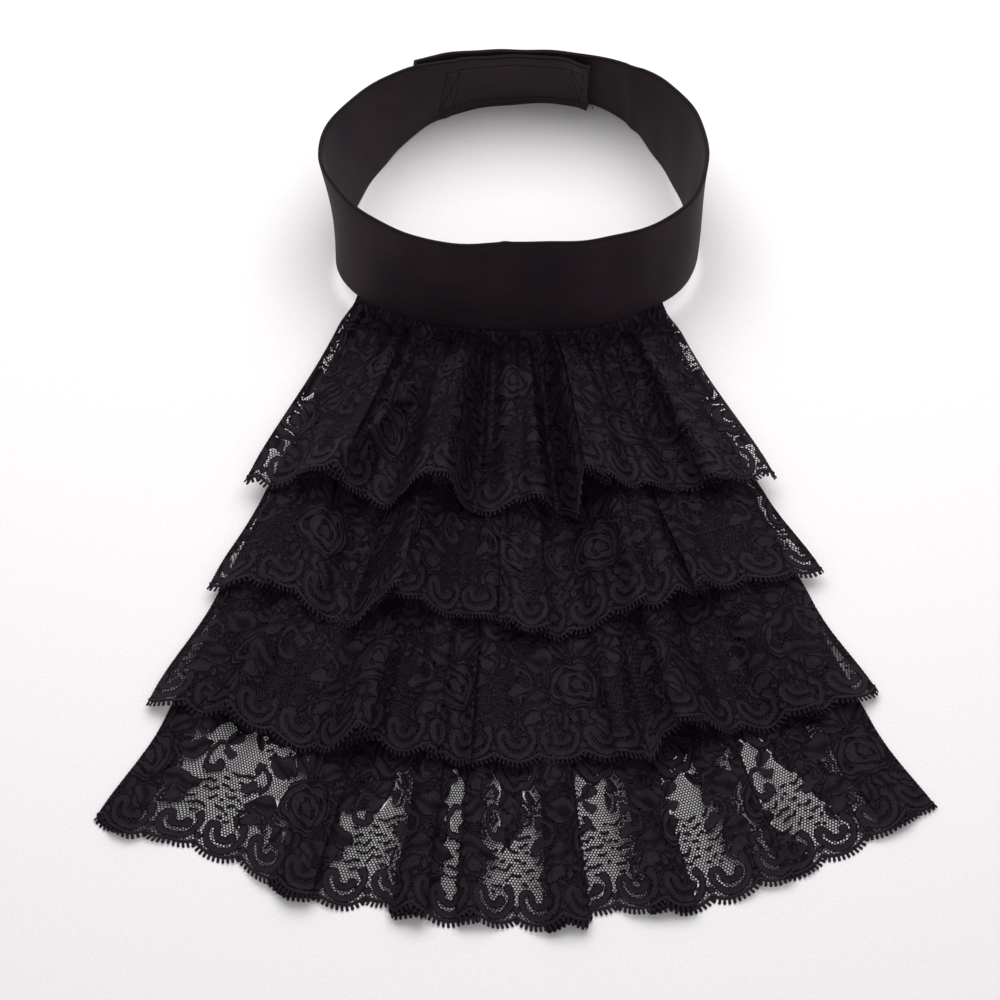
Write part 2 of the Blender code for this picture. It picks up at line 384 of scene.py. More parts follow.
def blur(grid, axis, times):
    for _ in range(times):
        padded = np.pad(grid, [(1, 1) if a == axis else (0, 0) for a in (0, 1)], "edge")
        grid = (
            np.take(padded, range(0, grid.shape[axis]), axis)
            + 2 * grid
            + np.take(padded, range(2, grid.shape[axis] + 2), axis)
        ) / 4
    return grid


def read_heights(tier):
    """Height of the top of one CAD ruffle, at each place across and each fall."""
    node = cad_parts[f"lace_tier_{tier}"]
    points = [vertex.co.copy() for vertex in node.data.vertices]
    faces = [tuple(polygon.vertices) for polygon in node.data.polygons]
    solid = BVHTree.FromPolygons(points, faces)
    falls = np.arange(0.0, FALL_LENGTH[tier] + 12 * MM, FALL_STEP)
    heights = np.zeros((len(falls), len(ACROSS_GRID)))
    for column, across in enumerate(np.clip(ACROSS_GRID, EDGE_MARGIN, 1 - EDGE_MARGIN)):
        deepest = float(hem_line(tier, across)) - CUSP_MARGIN
        for row, fall in enumerate(falls):
            x, y = fan_plan(across, min(max(fall, 0.5 * MM), deepest))
            hit = solid.ray_cast(Vector((x, y, 1.0)), Vector((0.0, 0.0, -1.0)))
            heights[row, column] = hit[0].z if hit[0] else heights[row - 1, column]
    return blur(blur(heights, 1, 2), 0, 2)


HEIGHTS = {tier: read_heights(tier) for tier in TIERS}


def sample(grid, across, fall):
    """Read a grid of heights between its points."""
    column = np.clip(across, 0, 1) * (len(ACROSS_GRID) - 1)
    row = np.clip(fall / FALL_STEP, 0, len(grid) - 1.001)
    left = np.minimum(column.astype(int), len(ACROSS_GRID) - 2)
    top = row.astype(int)
    sideways = column - left
    down = row - top
    upper = grid[top, left] * (1 - sideways) + grid[top, left + 1] * sideways
    lower = grid[top + 1, left] * (1 - sideways) + grid[top + 1, left + 1] * sideways
    return upper * (1 - down) + lower * down


print("highest fold:", round(float(HEIGHTS[1].max()) / MM, 1), "mm")

# %% [markdown]
# A ruffle is a straight strip of lace, far longer than the seam that it is drawn into.
# At the hem the extra length lies in laps, where the strip runs forward, back and forward again in three
# layers. Single layers between the laps let the light through, and the laps look solid.
# The laps are a table of places across the hem. From it comes one path across the
# ruffle, and the length of that path is the length of the strip.

# %% Laps of the gathered strips
# Columns: left end, right end, side of the edge that shows (-1 left, 1 right), and how
# high in millimetres that edge rolls up.
LAPS = {
    1: ((0.145, 0.185, 1, 3.5), (0.350, 0.390, 1, 4.0), (0.550, 0.582, 1, 3.0),
        (0.640, 0.690, -1, 4.0), (0.860, 0.895, -1, 3.0)),
    2: ((0.090, 0.120, -1, 2.5), (0.275, 0.315, 1, 4.5), (0.475, 0.495, -1, 2.0),
        (0.540, 0.558, 1, 2.0), (0.672, 0.712, 1, 3.0), (0.790, 0.830, -1, 3.0)),
    3: ((0.100, 0.130, -1, 2.5), (0.262, 0.304, 1, 4.5), (0.380, 0.395, 1, 2.0),
        (0.420, 0.440, 1, 2.0), (0.632, 0.652, -1, 2.5), (0.715, 0.758, -1, 4.5),
        (0.885, 0.910, 1, 2.5)),
    4: ((0.212, 0.268, 1, 2.0), (0.355, 0.398, 1, 2.0), (0.430, 0.456, -1, 1.5),
        (0.531, 0.579, 1, 2.0), (0.646, 0.698, 1, 2.0), (0.800, 0.813, 1, 1.2)),
}
# Width of the strip's own ends that is turned under, left and right, across the hem.
TURNS_UNDER = {1: (0.012, 0.012), 2: (0.012, 0.012), 3: (0.015, 0.015), 4: (0.049, 0.072)}
LAYER = 0.6 * MM
SETTLE = 9 * MM
PATH_STEP = 0.25 * MM
FOLD_ROUNDING = 0.75 * MM
SHOULDER = 0.4


def lap_corners(tier):
    """Corners of the path across the ruffle: place across, layer and height of the roll."""
    settle = SETTLE / fan_width(FALL_LENGTH[tier])
    left, right = TURNS_UNDER[tier]
    path = [(left, 0, 0), (0, 0, 0), (0, 1, 0), (left, 1, 0), (left + settle, 0, 0)]
    for start, finish, side, roll in LAPS[tier]:
        shown, hidden = (start, finish) if side < 0 else (finish, start)
        shoulder = shown + SHOULDER * (hidden - shown)
        lap = [
            (hidden, 0, 0),
            (hidden, 1, 0),
            (shown, 1, 0.8 * roll),
            (shown, 2, roll),
            (shoulder, 2, 0.9 * roll),
            (hidden, 2, 0.3 * roll),
            (hidden - side * settle, 0, 0),
        ]
        path += lap if side < 0 else lap[::-1]
    path += [(1 - right - settle, 0, 0), (1 - right, 1, 0), (1, 1, 0), (1, 0, 0)]
    return path + [(1 - right, 0, 0)]


def fold_strip(tier):
    """Place across, layer and roll along the strip, by distance from its left end."""
    width = fan_width(FALL_LENGTH[tier])
    across, layer, roll = np.array(lap_corners(tier), float).T
    roll = roll * MM
    steps = np.maximum(
        np.abs(np.diff(across)) * width, np.abs(np.diff(layer)) * LAYER + np.abs(np.diff(roll))
    )
    marks = np.concatenate(([0], np.cumsum(steps)))
    fine = np.arange(0, marks[-1], PATH_STEP)
    across, layer, roll = (np.interp(fine, marks, values) for values in (across, layer, roll))
    height = sample(HEIGHTS[tier], across, np.full_like(across, FALL_LENGTH[tier] * 0.9))
    moves = np.hypot(np.diff(across) * width, np.diff(layer * LAYER + roll + height))
    strip = np.concatenate(([0], np.cumsum(moves)))
    even = np.arange(0, strip[-1], PATH_STEP)
    reach = int(3 * FOLD_ROUNDING / PATH_STEP)
    weights = np.exp(-0.5 * (np.arange(-reach, reach + 1) * PATH_STEP / FOLD_ROUNDING) ** 2)
    weights /= weights.sum()
    smooth = {}
    for name, values in (("across", across), ("layer", layer), ("roll", roll)):
        padded = np.pad(np.interp(even, strip, values), reach, "edge")
        smooth[name] = np.convolve(padded, weights, "valid")
    return {"strip": even, "width": float(strip[-1]), **smooth}


STRIPS = {tier: fold_strip(tier) for tier in TIERS}
for tier, strip in STRIPS.items():
    print(f"ruffle {tier}: strip {strip['width'] / MM:.0f} x {FALL_LENGTH[tier] / MM:.0f} mm")

# %% [markdown]
# One function gathers every flat point onto its ruffle. It reads the place across and
# the layer from the strip, takes the fall from the hem, and adds what the hand sees in
# real lace: small gathers that fade below the seam, and a slight flutter at the hem.
# Clothwork, net and picots are all made flat and then go through this one function, so
# they stay together in every fold.

# %% Gather flat lace
TIER_SPACE = 1.1 * MM
UPPER_HEM = {4: 3, 3: 2, 2: 1, 1: None}
SHEET_ABOVE_SOLID = {1: -0.6 * MM, 2: -0.6 * MM, 3: -0.6 * MM, 4: -0.9 * MM}
SEAM_TUCK = 7 * MM
TUCK_LAYER = 0.2 * MM
SEAM_TOP = float(HEIGHTS[1][0].max())
# Columns: share by which the sides draw in above the next hem, and where, as a fall.
DRAW_IN = {1: (0.0, 60 * MM), 2: (0.030, 104 * MM), 3: (0.040, 150 * MM), 4: (0.046, 204 * MM)}
# Columns: share by which the hem stands out past the fan, at the left and at the right.
STAND_OUT = {1: (0.028, 0.029), 2: (0.005, 0.024), 3: (0.010, 0.014), 4: (0.004, 0.013)}
# Columns: height of the soft drapes, how many there are across.
DRAPES = {1: (1.5 * MM, 11.3), 2: (1.3 * MM, 9.4), 3: (1.1 * MM, 10.6), 4: (0.35 * MM, 12.0)}

# Sharp ridges and valleys that run down and outward from the seam. Columns: place across
# at the start and at the finish, fall at the start and at the finish in millimetres,
# height and half width in millimetres.
FOLDS = {
    1: (
        (0.235, 0.120, 8, 70, -2.5, 6.0), (0.300, 0.162, 6, 92, 4.5, 4.0),
        (0.330, 0.290, 8, 84, -3.5, 5.0), (0.372, 0.376, 2, 96, 4.5, 4.5),
        (0.440, 0.430, 5, 75, -3.0, 5.0), (0.515, 0.540, 4, 96, 4.0, 6.0),
        (0.572, 0.588, 6, 98, -4.5, 3.5), (0.645, 0.613, 4, 98, 4.5, 4.0),
        (0.700, 0.834, 12, 66, -3.5, 8.0), (0.800, 0.930, 8, 70, 1.0, 8.0),
    ),
    2: (
        (0.207, 0.236, 96, 146, -2.5, 9.0), (0.314, 0.298, 92, 150, 4.5, 4.5),
        (0.346, 0.340, 92, 140, -3.0, 6.0), (0.420, 0.425, 92, 150, 2.5, 7.0),
        (0.571, 0.575, 92, 132, -2.5, 9.0), (0.712, 0.690, 92, 146, 4.0, 5.0),
        (0.740, 0.726, 92, 146, -1.5, 4.0), (0.870, 0.860, 92, 140, 1.5, 10.0),
    ),
    3: (
        (0.120, 0.130, 146, 190, -1.5, 10.0), (0.285, 0.290, 140, 200, 3.5, 5.5),
        (0.318, 0.320, 140, 200, -3.0, 5.0), (0.668, 0.646, 146, 200, 3.5, 5.0),
        (0.700, 0.696, 140, 200, -3.0, 6.0), (0.729, 0.750, 140, 196, 3.5, 5.5),
        (0.790, 0.830, 140, 180, -1.5, 8.0),
    ),
    4: (),
}
FOLD_FADE = 8.0
# How far down each ruffle its small gathers reach.
GATHER_REACH = {1: 38 * MM, 2: 55 * MM, 3: 70 * MM, 4: 95 * MM}
SEAM_WIDTH = fan_width(0.0)
SPREAD = (fan_width(FALL_LENGTH[4]) - SEAM_WIDTH) / FALL_LENGTH[4]


def creased(tier, across, fall):
    """Height of the sharp ridges and valleys of a ruffle at its flat places."""
    height = np.zeros_like(across)
    depth = fall / MM
    width = (SEAM_WIDTH + SPREAD * fall) / MM
    for start, finish, top, foot, high, half in FOLDS[tier]:
        middle = start + (finish - start) * np.clip((depth - top) / (foot - top), 0, 1)
        away = np.abs(across - middle) * width / half
        ends = smoothstep(top - FOLD_FADE, top + FOLD_FADE, depth)
        ends = ends * (1 - smoothstep(foot - FOLD_FADE, foot + FOLD_FADE, depth))
        height += high * MM * np.exp(-(away**1.6)) * ends
    return height


def shown_share(tier, across, fall):
    """0 where the ruffle above presses on this one, 1 where it lies free."""
    if UPPER_HEM[tier] is None:
        return smoothstep(0, 40 * MM, fall)
    upper = hem_line(UPPER_HEM[tier], across)
    return smoothstep(upper - 3 * MM, upper + 22 * MM, fall)


def flutter(tier, across, fall, free):
    hem = smoothstep(0.6, 1.0, fall / FALL_LENGTH[tier])
    slow = np.sin(2 * math.pi * (9.3 * across + 0.37 * tier) + fall / (19 * MM))
    fast = np.sin(2 * math.pi * (23.7 * across + 0.61 * tier))
    gathers = np.sin(2 * math.pi * (31 * across + 0.4 * np.sin(17 * across)))
    near_seam = smoothstep(0, 9 * MM, fall) * np.exp(-fall / GATHER_REACH[tier])
    height, count = DRAPES[tier]
    drape = np.sin(2 * math.pi * (count * across + 0.35 * np.sin(7 * across + 2 * tier)))
    flat = hem * (0.35 * slow + 0.2 * fast) * MM + 1.2 * MM * gathers * near_seam
    return flat + height * drape * free


def gather(tier, strip, rise):
    """Gathered position of flat points: along the strip, and up from the hem."""
    table = STRIPS[tier]
    across, layer, roll = (
        np.interp(strip, table["strip"], table[name]) for name in ("across", "layer", "roll")
    )
    fall = hem_line(tier, across) * (1 - rise / FALL_LENGTH[tier])
    share, deepest = DRAW_IN[tier]
    drawn = share * smoothstep(0, 30 * MM, fall)
    drawn = drawn * (1 - smoothstep(deepest, FALL_LENGTH[tier], fall))
    left, right = STAND_OUT[tier]
    out = np.where(across < 0.5, left, right) * (2 * across - 1)
    out = out * smoothstep(0.25 * FALL_LENGTH[tier], FALL_LENGTH[tier], fall)
    x, y = fan_plan(0.5 + (across - 0.5) * (1 - drawn) + out, fall)
    free = shown_share(tier, across, fall)
    z = sample(HEIGHTS[tier], across, fall) + SHEET_ABOVE_SOLID[tier]
    z = z + smoothstep(0, 22 * MM, fall) * ((4 - tier) * TIER_SPACE + layer * LAYER)
    z = z + roll * free + flutter(tier, across, fall, free) + creased(tier, across, fall)
    in_band = SEAM_TOP + (5 - tier) * TUCK_LAYER
    z = in_band + (z - in_band) * smoothstep(-1 * MM, SEAM_TUCK, fall)
    return np.stack((x, y, np.maximum(z, 0.25 * MM)), -1)


def gather_solid(tier, points):
    """Gather points that stand off the flat lace by their third coordinate."""
    step = 0.2 * MM
    here = gather(tier, points[:, 0], points[:, 1])
    right = gather(tier, points[:, 0] + step, points[:, 1]) - here
    up = gather(tier, points[:, 0], points[:, 1] + step) - here
    normal = np.cross(right, up)
    size = np.linalg.norm(normal, axis=1, keepdims=True)
    return here + points[:, 2:] * normal / np.maximum(size, 1e-12)


# %% [markdown]
# Before a lace machine is set up, the pattern is charted flat. This chart is made the
# same way, from roses, leaves, scrolls and rows of dashes on a repeat of 64 by 56
# millimetres, four scallops wide. Each motif is a signed distance: negative inside,
# positive outside, in millimetres. Distances are easy to join, to cut and to offset, so
# one set of arrays later gives the cut outline, the raised cord and the gap between two
# motifs.

# %% Chart: sizes and places
REPEAT = 64.0
ROW = 56.0
SCALLOP = 16.0
HEM_DEPTH = 3.4
HEM_FULLNESS = 0.62
FAR = 9.0
PLAIN = 0.5
PETAL_PITCH = 2.7
# Columns: centre across, centre up, radius, turn in degrees.
ROSES = (
    (16.0, 33.0, 11.0, 10.0),
    (48.6, 60.5, 10.0, 47.0),
    (33.5, 20.5, 5.0, 20.0),
    (62.5, 19.0, 5.0, 70.0),
    (32.0, 52.0, 4.8, 110.0),
    (0.5, 57.0, 4.8, 200.0),
)
# Columns: foot across, foot up, direction in degrees, length, half width.
LEAVES = (
    (26.5, 28.5, -14.0, 12.5, 4.6),
    (26.0, 39.0, 28.0, 12.5, 4.2),
    (6.4, 40.0, 140.0, 12.0, 4.4),
    (5.2, 28.0, 196.0, 12.0, 4.6),
    (16.0, 44.5, 92.0, 12.0, 4.2),
    (12.8, 44.5, 138.0, 11.0, 3.4),
    (19.4, 44.5, 48.0, 11.0, 3.4),
    (11.0, 22.5, 240.0, 9.5, 3.6),
    (21.5, 22.5, -62.0, 9.5, 3.6),
    (16.2, 21.8, -90.0, 9.0, 2.8),
    (39.5, 57.0, 205.0, 12.0, 4.0),
    (57.5, 57.0, -25.0, 12.0, 4.2),
    (40.0, 66.0, 165.0, 12.0, 4.0),
    (57.5, 66.0, 18.0, 12.0, 4.0),
    (45.0, 52.0, 250.0, 7.5, 2.4),
    (52.5, 52.0, -70.0, 7.5, 2.4),
)
# Columns: centre across, centre up, radius, start and finish in degrees, half widths.
SCROLLS = (
    (41.5, 38.5, 5.6, 40.0, 290.0, 1.1, 1.3),
    (57.0, 35.0, 5.0, -110.0, 110.0, 1.0, 1.3),
    (16.0, 63.0, 7.5, 195.0, 345.0, 1.2, 1.2),
    (16.0, 68.0, 5.5, 15.0, 165.0, 1.2, 1.2),
    (27.5, 17.0, 5.0, 200.0, 350.0, 1.2, 0.9),
    (5.0, 16.5, 5.0, 10.0, 160.0, 1.0, 1.3),
    (1.7, 66.0, 4.6, 60.0, 260.0, 1.2, 0.9),
)
# Columns: centre across, centre up, half width, half height.
DASH_FIELDS = (
    (48.6, 26.0, 14.0, 12.0),
    (32.0, 62.0, 8.0, 8.0),
    (0.0, 47.0, 8.5, 7.0),
    (16.0, 67.0, 6.5, 5.0),
)
# The row of open scrolls along the hem: rise of their middle, how much taller than wide,
# radius of the outer and of the inner turn, and half width of their band.
HEM_SCROLL_RISE = 11.9
HEM_SCROLL_TALL = 1.2
HEM_SCROLL_OUTER = 6.3
HEM_SCROLL_INNER = 2.9
HEM_SCROLL_HALF = 1.15
# The spot between two scrolls: its rise and its radius.
HEM_SPOT_RISE = 7.4
HEM_SPOT = 1.35
FIELD_FOOT = 14.5
FIELD_WAVE = 3.0
CLOTHWORK_FOOT = 2.7
ECHO_START = 0.5
ECHO_PITCH = 1.75
ECHO_HALF = 0.5
DASH_PITCH = 3.2
DASH_HALF = 0.55
LEAD = 0.36


# %% Chart: motifs
def rose(x, y, radius, turn):
    """Petals of one flower: a lobed outline, broken slits, and a vein between petals."""
    r = np.hypot(x, y)
    angle = np.arctan2(y, x) + math.radians(turn)
    solid = r - radius * (0.84 + 0.16 * np.abs(np.cos(2.5 * angle)) ** 0.6)
    for step, (share, petals) in enumerate(((0.64, 2.0), (0.34, 1.5))):
        ring = radius * share * (0.86 + 0.18 * np.abs(np.sin(petals * angle + 1.1 * step)))
        if radius * share > 2.5:
            slit = 0.62 * np.abs(np.sin(petals * angle + 0.6 + step)) - 0.22
            solid = np.maximum(solid, slit - np.abs(r - ring))
    petals = 0.2 * np.abs(np.sin(2.5 * angle + r / 2.6)) - 0.1
    return solid, r / (PETAL_PITCH + 0.04 * radius) + petals, r


def leaf(x, y, direction, length, half):
    """A pointed leaf with a bent middle vein and slanting ribs."""
    turn = math.radians(direction)
    along = x * math.cos(turn) + y * math.sin(turn)
    aside = y * math.cos(turn) - x * math.sin(turn)
    aside = aside - 0.12 * along * np.sin(along / length * math.pi)
    share = np.clip(along / length, 0.0, 1.0)
    width = half * np.sin(math.pi * share**0.75) ** 0.9
    solid = np.maximum(np.abs(aside) - width, np.maximum(-along, along - length))
    return solid, aside / (2.4 * half), along - 0.9 * np.abs(aside)


def arc(x, y, radius, start, finish):
    """Distance from an arc about the origin, share along it and angle from its start."""
    sweep = finish - start
    angle = (np.degrees(np.arctan2(y, x)) - start) % 360.0
    angle = np.where(angle > 180.0 + sweep / 2, angle - 360.0, angle)
    share = np.clip(angle / sweep, 0.0, 1.0)
    place = np.radians(start + share * sweep)
    away = np.hypot(x - radius * np.cos(place), y - radius * np.sin(place))
    return away, share, radius * np.radians(angle)


def knob(x, y, radius, turn, size):
    """A round spot at one place of an arc about the origin."""
    turn = math.radians(turn)
    return np.hypot(x - radius * math.cos(turn), y - radius * math.sin(turn)) - size


def scroll(x, y, radius, start, finish, first, last):
    """A curved band with a round knob turned in at each end."""
    away, share, run = arc(x, y, radius, start, finish)
    solid = away - (first + (last - first) * share)
    for turn, half in ((start, first), (finish, last)):
        solid = np.minimum(solid, knob(x, y, radius - 1.5 * half, turn, 1.55 * half))
    return solid, np.full_like(x, PLAIN), run


def hem_scroll(x, y):
    """The open scroll in each scallop, turned back inside itself to a round end."""
    y = y / HEM_SCROLL_TALL
    middle = (HEM_SCROLL_OUTER + HEM_SCROLL_INNER) / 2
    outer, _, run = arc(x, y, HEM_SCROLL_OUTER, 175.0, 385.0)
    inner = arc(x, y, HEM_SCROLL_INNER, 180.0, 335.0)[0]
    joint = arc(x + middle, y, HEM_SCROLL_OUTER - middle, 0.0, 180.0)[0]
    solid = np.minimum(np.minimum(outer, inner), joint) - HEM_SCROLL_HALF
    solid = np.minimum(solid, knob(x, y, HEM_SCROLL_INNER, 335.0, 1.5 * HEM_SCROLL_HALF))
    solid = np.minimum(solid, knob(x, y, HEM_SCROLL_OUTER - 0.5, 385.0, 1.4 * HEM_SCROLL_HALF))
    return solid, np.full_like(x, PLAIN), run


def dashes(strip, rise, x, y, wide, high):
    """Rows of wavy dashes that half fill an open field of net."""
    field = (np.hypot(x / wide, y / high) - 1) * min(wide, high)
    row = np.floor(rise / DASH_PITCH)
    wave = rise + 0.55 * np.sin(strip * 2 * math.pi / 4.4 + 0.7 * row)
    across = np.abs(around(wave, 0.0, DASH_PITCH)) - DASH_HALF
    broken = 3 * np.sin(strip * 2 * math.pi / 9.7 + 2.1 * np.floor(wave / DASH_PITCH + 0.5))
    solid = np.maximum(np.maximum(across, field), broken - 2.4)
    return solid, np.full_like(strip, PLAIN), strip


# %% Chart: the whole pattern
def hem_rise(strip):
    """Height of the scalloped edge above the lowest line of the hem."""
    return HEM_DEPTH * (1 - np.abs(np.sin(math.pi * strip / SCALLOP)) ** HEM_FULLNESS)


def lay(below, motif, lead):
    """Lay a motif on what is there, with a clear lead round it where the net shows."""
    solid, outline, vein, rib = below
    own, own_vein, own_rib = motif
    inside = own < 0
    outline = np.where(inside, -own, np.minimum(outline, own + lead))
    vein = np.where(inside, own_vein, vein)
    rib = np.where(inside, own_rib, rib)
    if lead:
        solid = np.maximum(solid, lead - own)
    return np.minimum(solid, own), outline, vein, rib


def hand_drawn(strip, rise):
    """Shift the chart a little from place to place, as a hand-drawn pattern wanders."""
    turn = strip * 2 * math.pi / REPEAT
    along = 1.1 * np.sin(3 * turn + rise / 5.3) + 0.45 * np.sin(7 * turn - rise / 2.9)
    up = 0.9 * np.sin(4 * turn + rise / 6.1 + 1.3) + 0.4 * np.sin(9 * turn + rise / 3.3)
    return strip + along, rise + up


def echo_lines(below, strip, rise, wanted):
    """Thin lines that follow the motifs across the ground between them, where wanted."""
    solid = below[0]
    uneven = solid + 0.35 * np.sin(strip / 1.7 + 0.8 * np.sin(rise / 2.3))
    line = np.abs((uneven - ECHO_START) % ECHO_PITCH - ECHO_PITCH / 2) - ECHO_HALF
    line = np.where(wanted & (solid > ECHO_START), line, FAR)
    return lay(below, (line, np.full(strip.shape, PLAIN), strip), 0.0)


def chart(strip, rise, echoes):
    """Signed distance, outline, vein phase and rib distance of the pattern, in millimetres."""
    far = np.full(strip.shape, FAR)
    below = (far, far, np.full(strip.shape, PLAIN), np.zeros(strip.shape))
    drawn, height = hand_drawn(strip, rise)
    for x, y, *sizes in DASH_FIELDS:
        field = around(drawn, x, REPEAT), around(height, y, ROW)
        motif = dashes(drawn, height, *field, *sizes)
        below = lay(below, motif, 0.0)
    for shape, rows in ((scroll, SCROLLS), (leaf, LEAVES), (rose, ROSES)):
        for x, y, *sizes in rows:
            motif = shape(around(drawn, x, REPEAT), around(height, y, ROW), *sizes)
            below = lay(below, motif, LEAD)
    foot = FIELD_FOOT - rise + FIELD_WAVE * np.cos(strip * 2 * math.pi / SCALLOP)
    below = (np.maximum(below[0], foot), *below[1:])
    inside_scallop = around(strip, SCALLOP / 2, SCALLOP)
    below = lay(below, hem_scroll(inside_scallop, rise - HEM_SCROLL_RISE), LEAD)
    spot = np.hypot(around(strip, 0.0, SCALLOP), rise - HEM_SPOT_RISE) - HEM_SPOT
    below = lay(below, (spot, np.full(strip.shape, PLAIN), strip), LEAD)
    below = echo_lines(below, drawn, height, echoes)
    solid = np.maximum(below[0], hem_rise(strip) + CLOTHWORK_FOOT - rise)
    return (solid, *below[1:])


# %% [markdown]
# The clothwork is cut out of a flat sheet of small triangles. At each corner the chart
# gives a distance, and where its sign changes along an edge, the outline crosses that
# edge. Keeping only the inside part gives real holes with smooth outlines, which a
# texture could not: the light goes through them, and the cut edges cast shadows. Under
# the next ruffle, where no one sees it, the sheet has larger triangles.

# %% Cut clothwork out of a triangle grid
PHASE = {1: 9.0, 2: 31.0, 3: 47.0, 4: 63.0}
# The longest strip is pieced: at joins hidden inside its laps the chart skips whole
# scallops, which brings an open field into each window. Columns: place along the strip in
# millimetres, scallops skipped up to there.
JOINS = {1: (), 2: (), 3: (), 4: ((103, 2), (214, 2), (396, 1))}
FINE = 0.9
COARSE = 1.8
THINNEST = 0.12


def chart_place(tier, strip):
    """Place on the chart of a place along the strip."""
    place = strip + PHASE[tier]
    for join, skipped in JOINS[tier]:
        place = place + SCALLOP * skipped * (strip > join)
    return place


def lattice(width, low, high, pitch):
    """Rows of points in a triangular pattern, and the triangles between them."""
    columns = int(width / pitch) + 1
    step = pitch * math.sqrt(3) / 2
    rows = max(2, round((high - low) / step) + 1)
    column, row = np.meshgrid(np.arange(columns), np.arange(rows))
    x = np.clip((column + 0.5 * (row % 2) - 0.25) * pitch, 0, width)
    x[:, -1] = width
    y = low + row * (high - low) / (rows - 1)
    first = (row * columns + column)[:-1, :-1].ravel()
    odd = (row[:-1, :-1] % 2).ravel().astype(bool)
    second, third = first + 1, first + columns
    fourth = third + 1
    even_faces = ((first, second, third), (second, fourth, third))
    odd_faces = ((first, second, fourth), (first, fourth, third))
    faces = [
        np.stack([np.where(odd, b, a) for a, b in zip(*pair)], 1)
        for pair in zip(even_faces, odd_faces)
    ]
    return np.stack((x.ravel(), y.ravel()), 1), np.concatenate(faces)


def cut(points, faces, values):
    """Keep the part of each triangle where the first value is negative."""
    level = values[:, 0]
    level = np.where(np.abs(level) < THINNEST, np.where(level < 0, -THINNEST, THINNEST), level)
    inside = level < 0
    count = inside[faces].sum(1)
    kept = [faces[count == 3]]
    edges = []
    for wanted, build in ((1, True), (2, False)):
        part = faces[count == wanted]
        odd_one = np.argmax(inside[part] == build, 1)
        turned = np.stack(
            [part[np.arange(len(part)), (odd_one + k) % 3] for k in range(3)], 1
        )
        edges.append((turned[:, [0, 1]], turned[:, [0, 2]], turned, build))
    pairs = np.sort(np.concatenate([e for row in edges for e in row[:2]]), 1)
    unique, index = np.unique(pairs, axis=0, return_inverse=True)
    index = index.ravel() + len(points)
    share = level[unique[:, 0]] / (level[unique[:, 0]] - level[unique[:, 1]])
    share = share[:, None]
    new_points = points[unique[:, 0]] * (1 - share) + points[unique[:, 1]] * share
    new_values = values[unique[:, 0]] * (1 - share) + values[unique[:, 1]] * share
    start = 0
    for first, second, turned, build in edges:
        cut_a = index[start : start + len(first)]
        cut_b = index[start + len(first) : start + 2 * len(first)]
        start += 2 * len(first)
        if build:
            kept.append(np.stack((turned[:, 0], cut_a, cut_b), 1))
        else:
            kept.append(np.stack((turned[:, 1], turned[:, 2], cut_b), 1))
            kept.append(np.stack((turned[:, 1], cut_b, cut_a), 1))
    points = np.concatenate((points, new_points))
    values = np.concatenate((values, new_values))
    used, faces = np.unique(np.concatenate(kept), return_inverse=True)
    return points[used], faces.reshape(-1, 3), values[used]


# Under the next ruffle the gathers of a real strip lie several layers deep, so its
# clothwork is charted closer there, by this many millimetres, except along its sides. The
# lowest layer of a lap, and a single layer outside the windows, is charted closer too.
HIDDEN_SWELL = 3.0
LAP_SWELL = 1.6
LAP_MARGIN = 1.0
CLOSING = 2.6
# Single layers of open net that let the light through. Columns: place across at the left
# and at the right, how far both drift to the left for each millimetre up from the hem,
# and how far up the window reaches in millimetres.
WINDOWS = {
    4: (
        (0.052, 0.196, 0.0001, 72.0),
        (0.276, 0.350, 0.0003, 40.0),
        (0.404, 0.432, 0.0000, 60.0),
        (0.474, 0.532, 0.0000, 36.0),
        (0.580, 0.634, 0.0002, 52.0),
        (0.702, 0.775, 0.0005, 60.0),
        (0.848, 0.925, 0.0014, 58.0),
    ),
}
SIDE_START = 0.03
SIDE_FINISH = 0.08


def hidden_share(tier, strip, rise):
    """1 well under the ruffle above and away from the sides, 0 in the open."""
    if UPPER_HEM[tier] is None:
        return np.zeros_like(strip)
    table = STRIPS[tier]
    across = np.interp(strip * MM, table["strip"], table["across"])
    fall = hem_line(tier, across) * (1 - rise * MM / FALL_LENGTH[tier])
    upper = hem_line(UPPER_HEM[tier], across)
    inner = smoothstep(SIDE_START, SIDE_FINISH, np.minimum(across, 1 - across))
    return inner * (1 - smoothstep(upper - 9 * MM, upper + 1 * MM, fall))


def clear_depth(tier, strip, rise):
    """Millimetres into an open single layer, negative in laps and turns, and the layer."""
    table = STRIPS[tier]
    across, layer = (np.interp(strip * MM, table["strip"], table[k]) for k in ("across", "layer"))
    width = fan_width(FALL_LENGTH[tier]) / MM
    left, right = TURNS_UNDER[tier]
    clear = np.minimum(across - left, 1 - right - across)
    for start, finish, _, _ in LAPS[tier]:
        clear = np.minimum(clear, np.maximum(start - across, across - finish))
    if tier in WINDOWS:
        ragged = rise + 3.0 * np.sin(strip / 4.1) + 2.0 * np.sin(strip / 1.7)
        widest = np.full(strip.shape, -FAR / width)
        for start, finish, drift, top in WINDOWS[tier]:
            place = across + drift * rise + 0.004 * np.sin(rise / 3.1)
            sides = np.minimum(place - start, finish - place)
            widest = np.maximum(widest, np.minimum(sides, (top - ragged) / width))
        clear = np.minimum(clear, widest)
    return clear * width - LAP_MARGIN, layer


def ruffle_chart(tier, strip, rise):
    """The chart as one ruffle uses it: open in the windows, closer where it is hidden."""
    clear, layer = clear_depth(tier, strip, rise)
    echoes = (clear < 0) | (tier not in WINDOWS)
    solid, *others = chart(chart_place(tier, strip), rise, echoes)
    closed = (1 - smoothstep(-CLOSING, 0.0, clear)) * (layer < 0.5)
    solid = solid - LAP_SWELL * closed - HIDDEN_SWELL * hidden_share(tier, strip, rise)
    return (solid, *others)


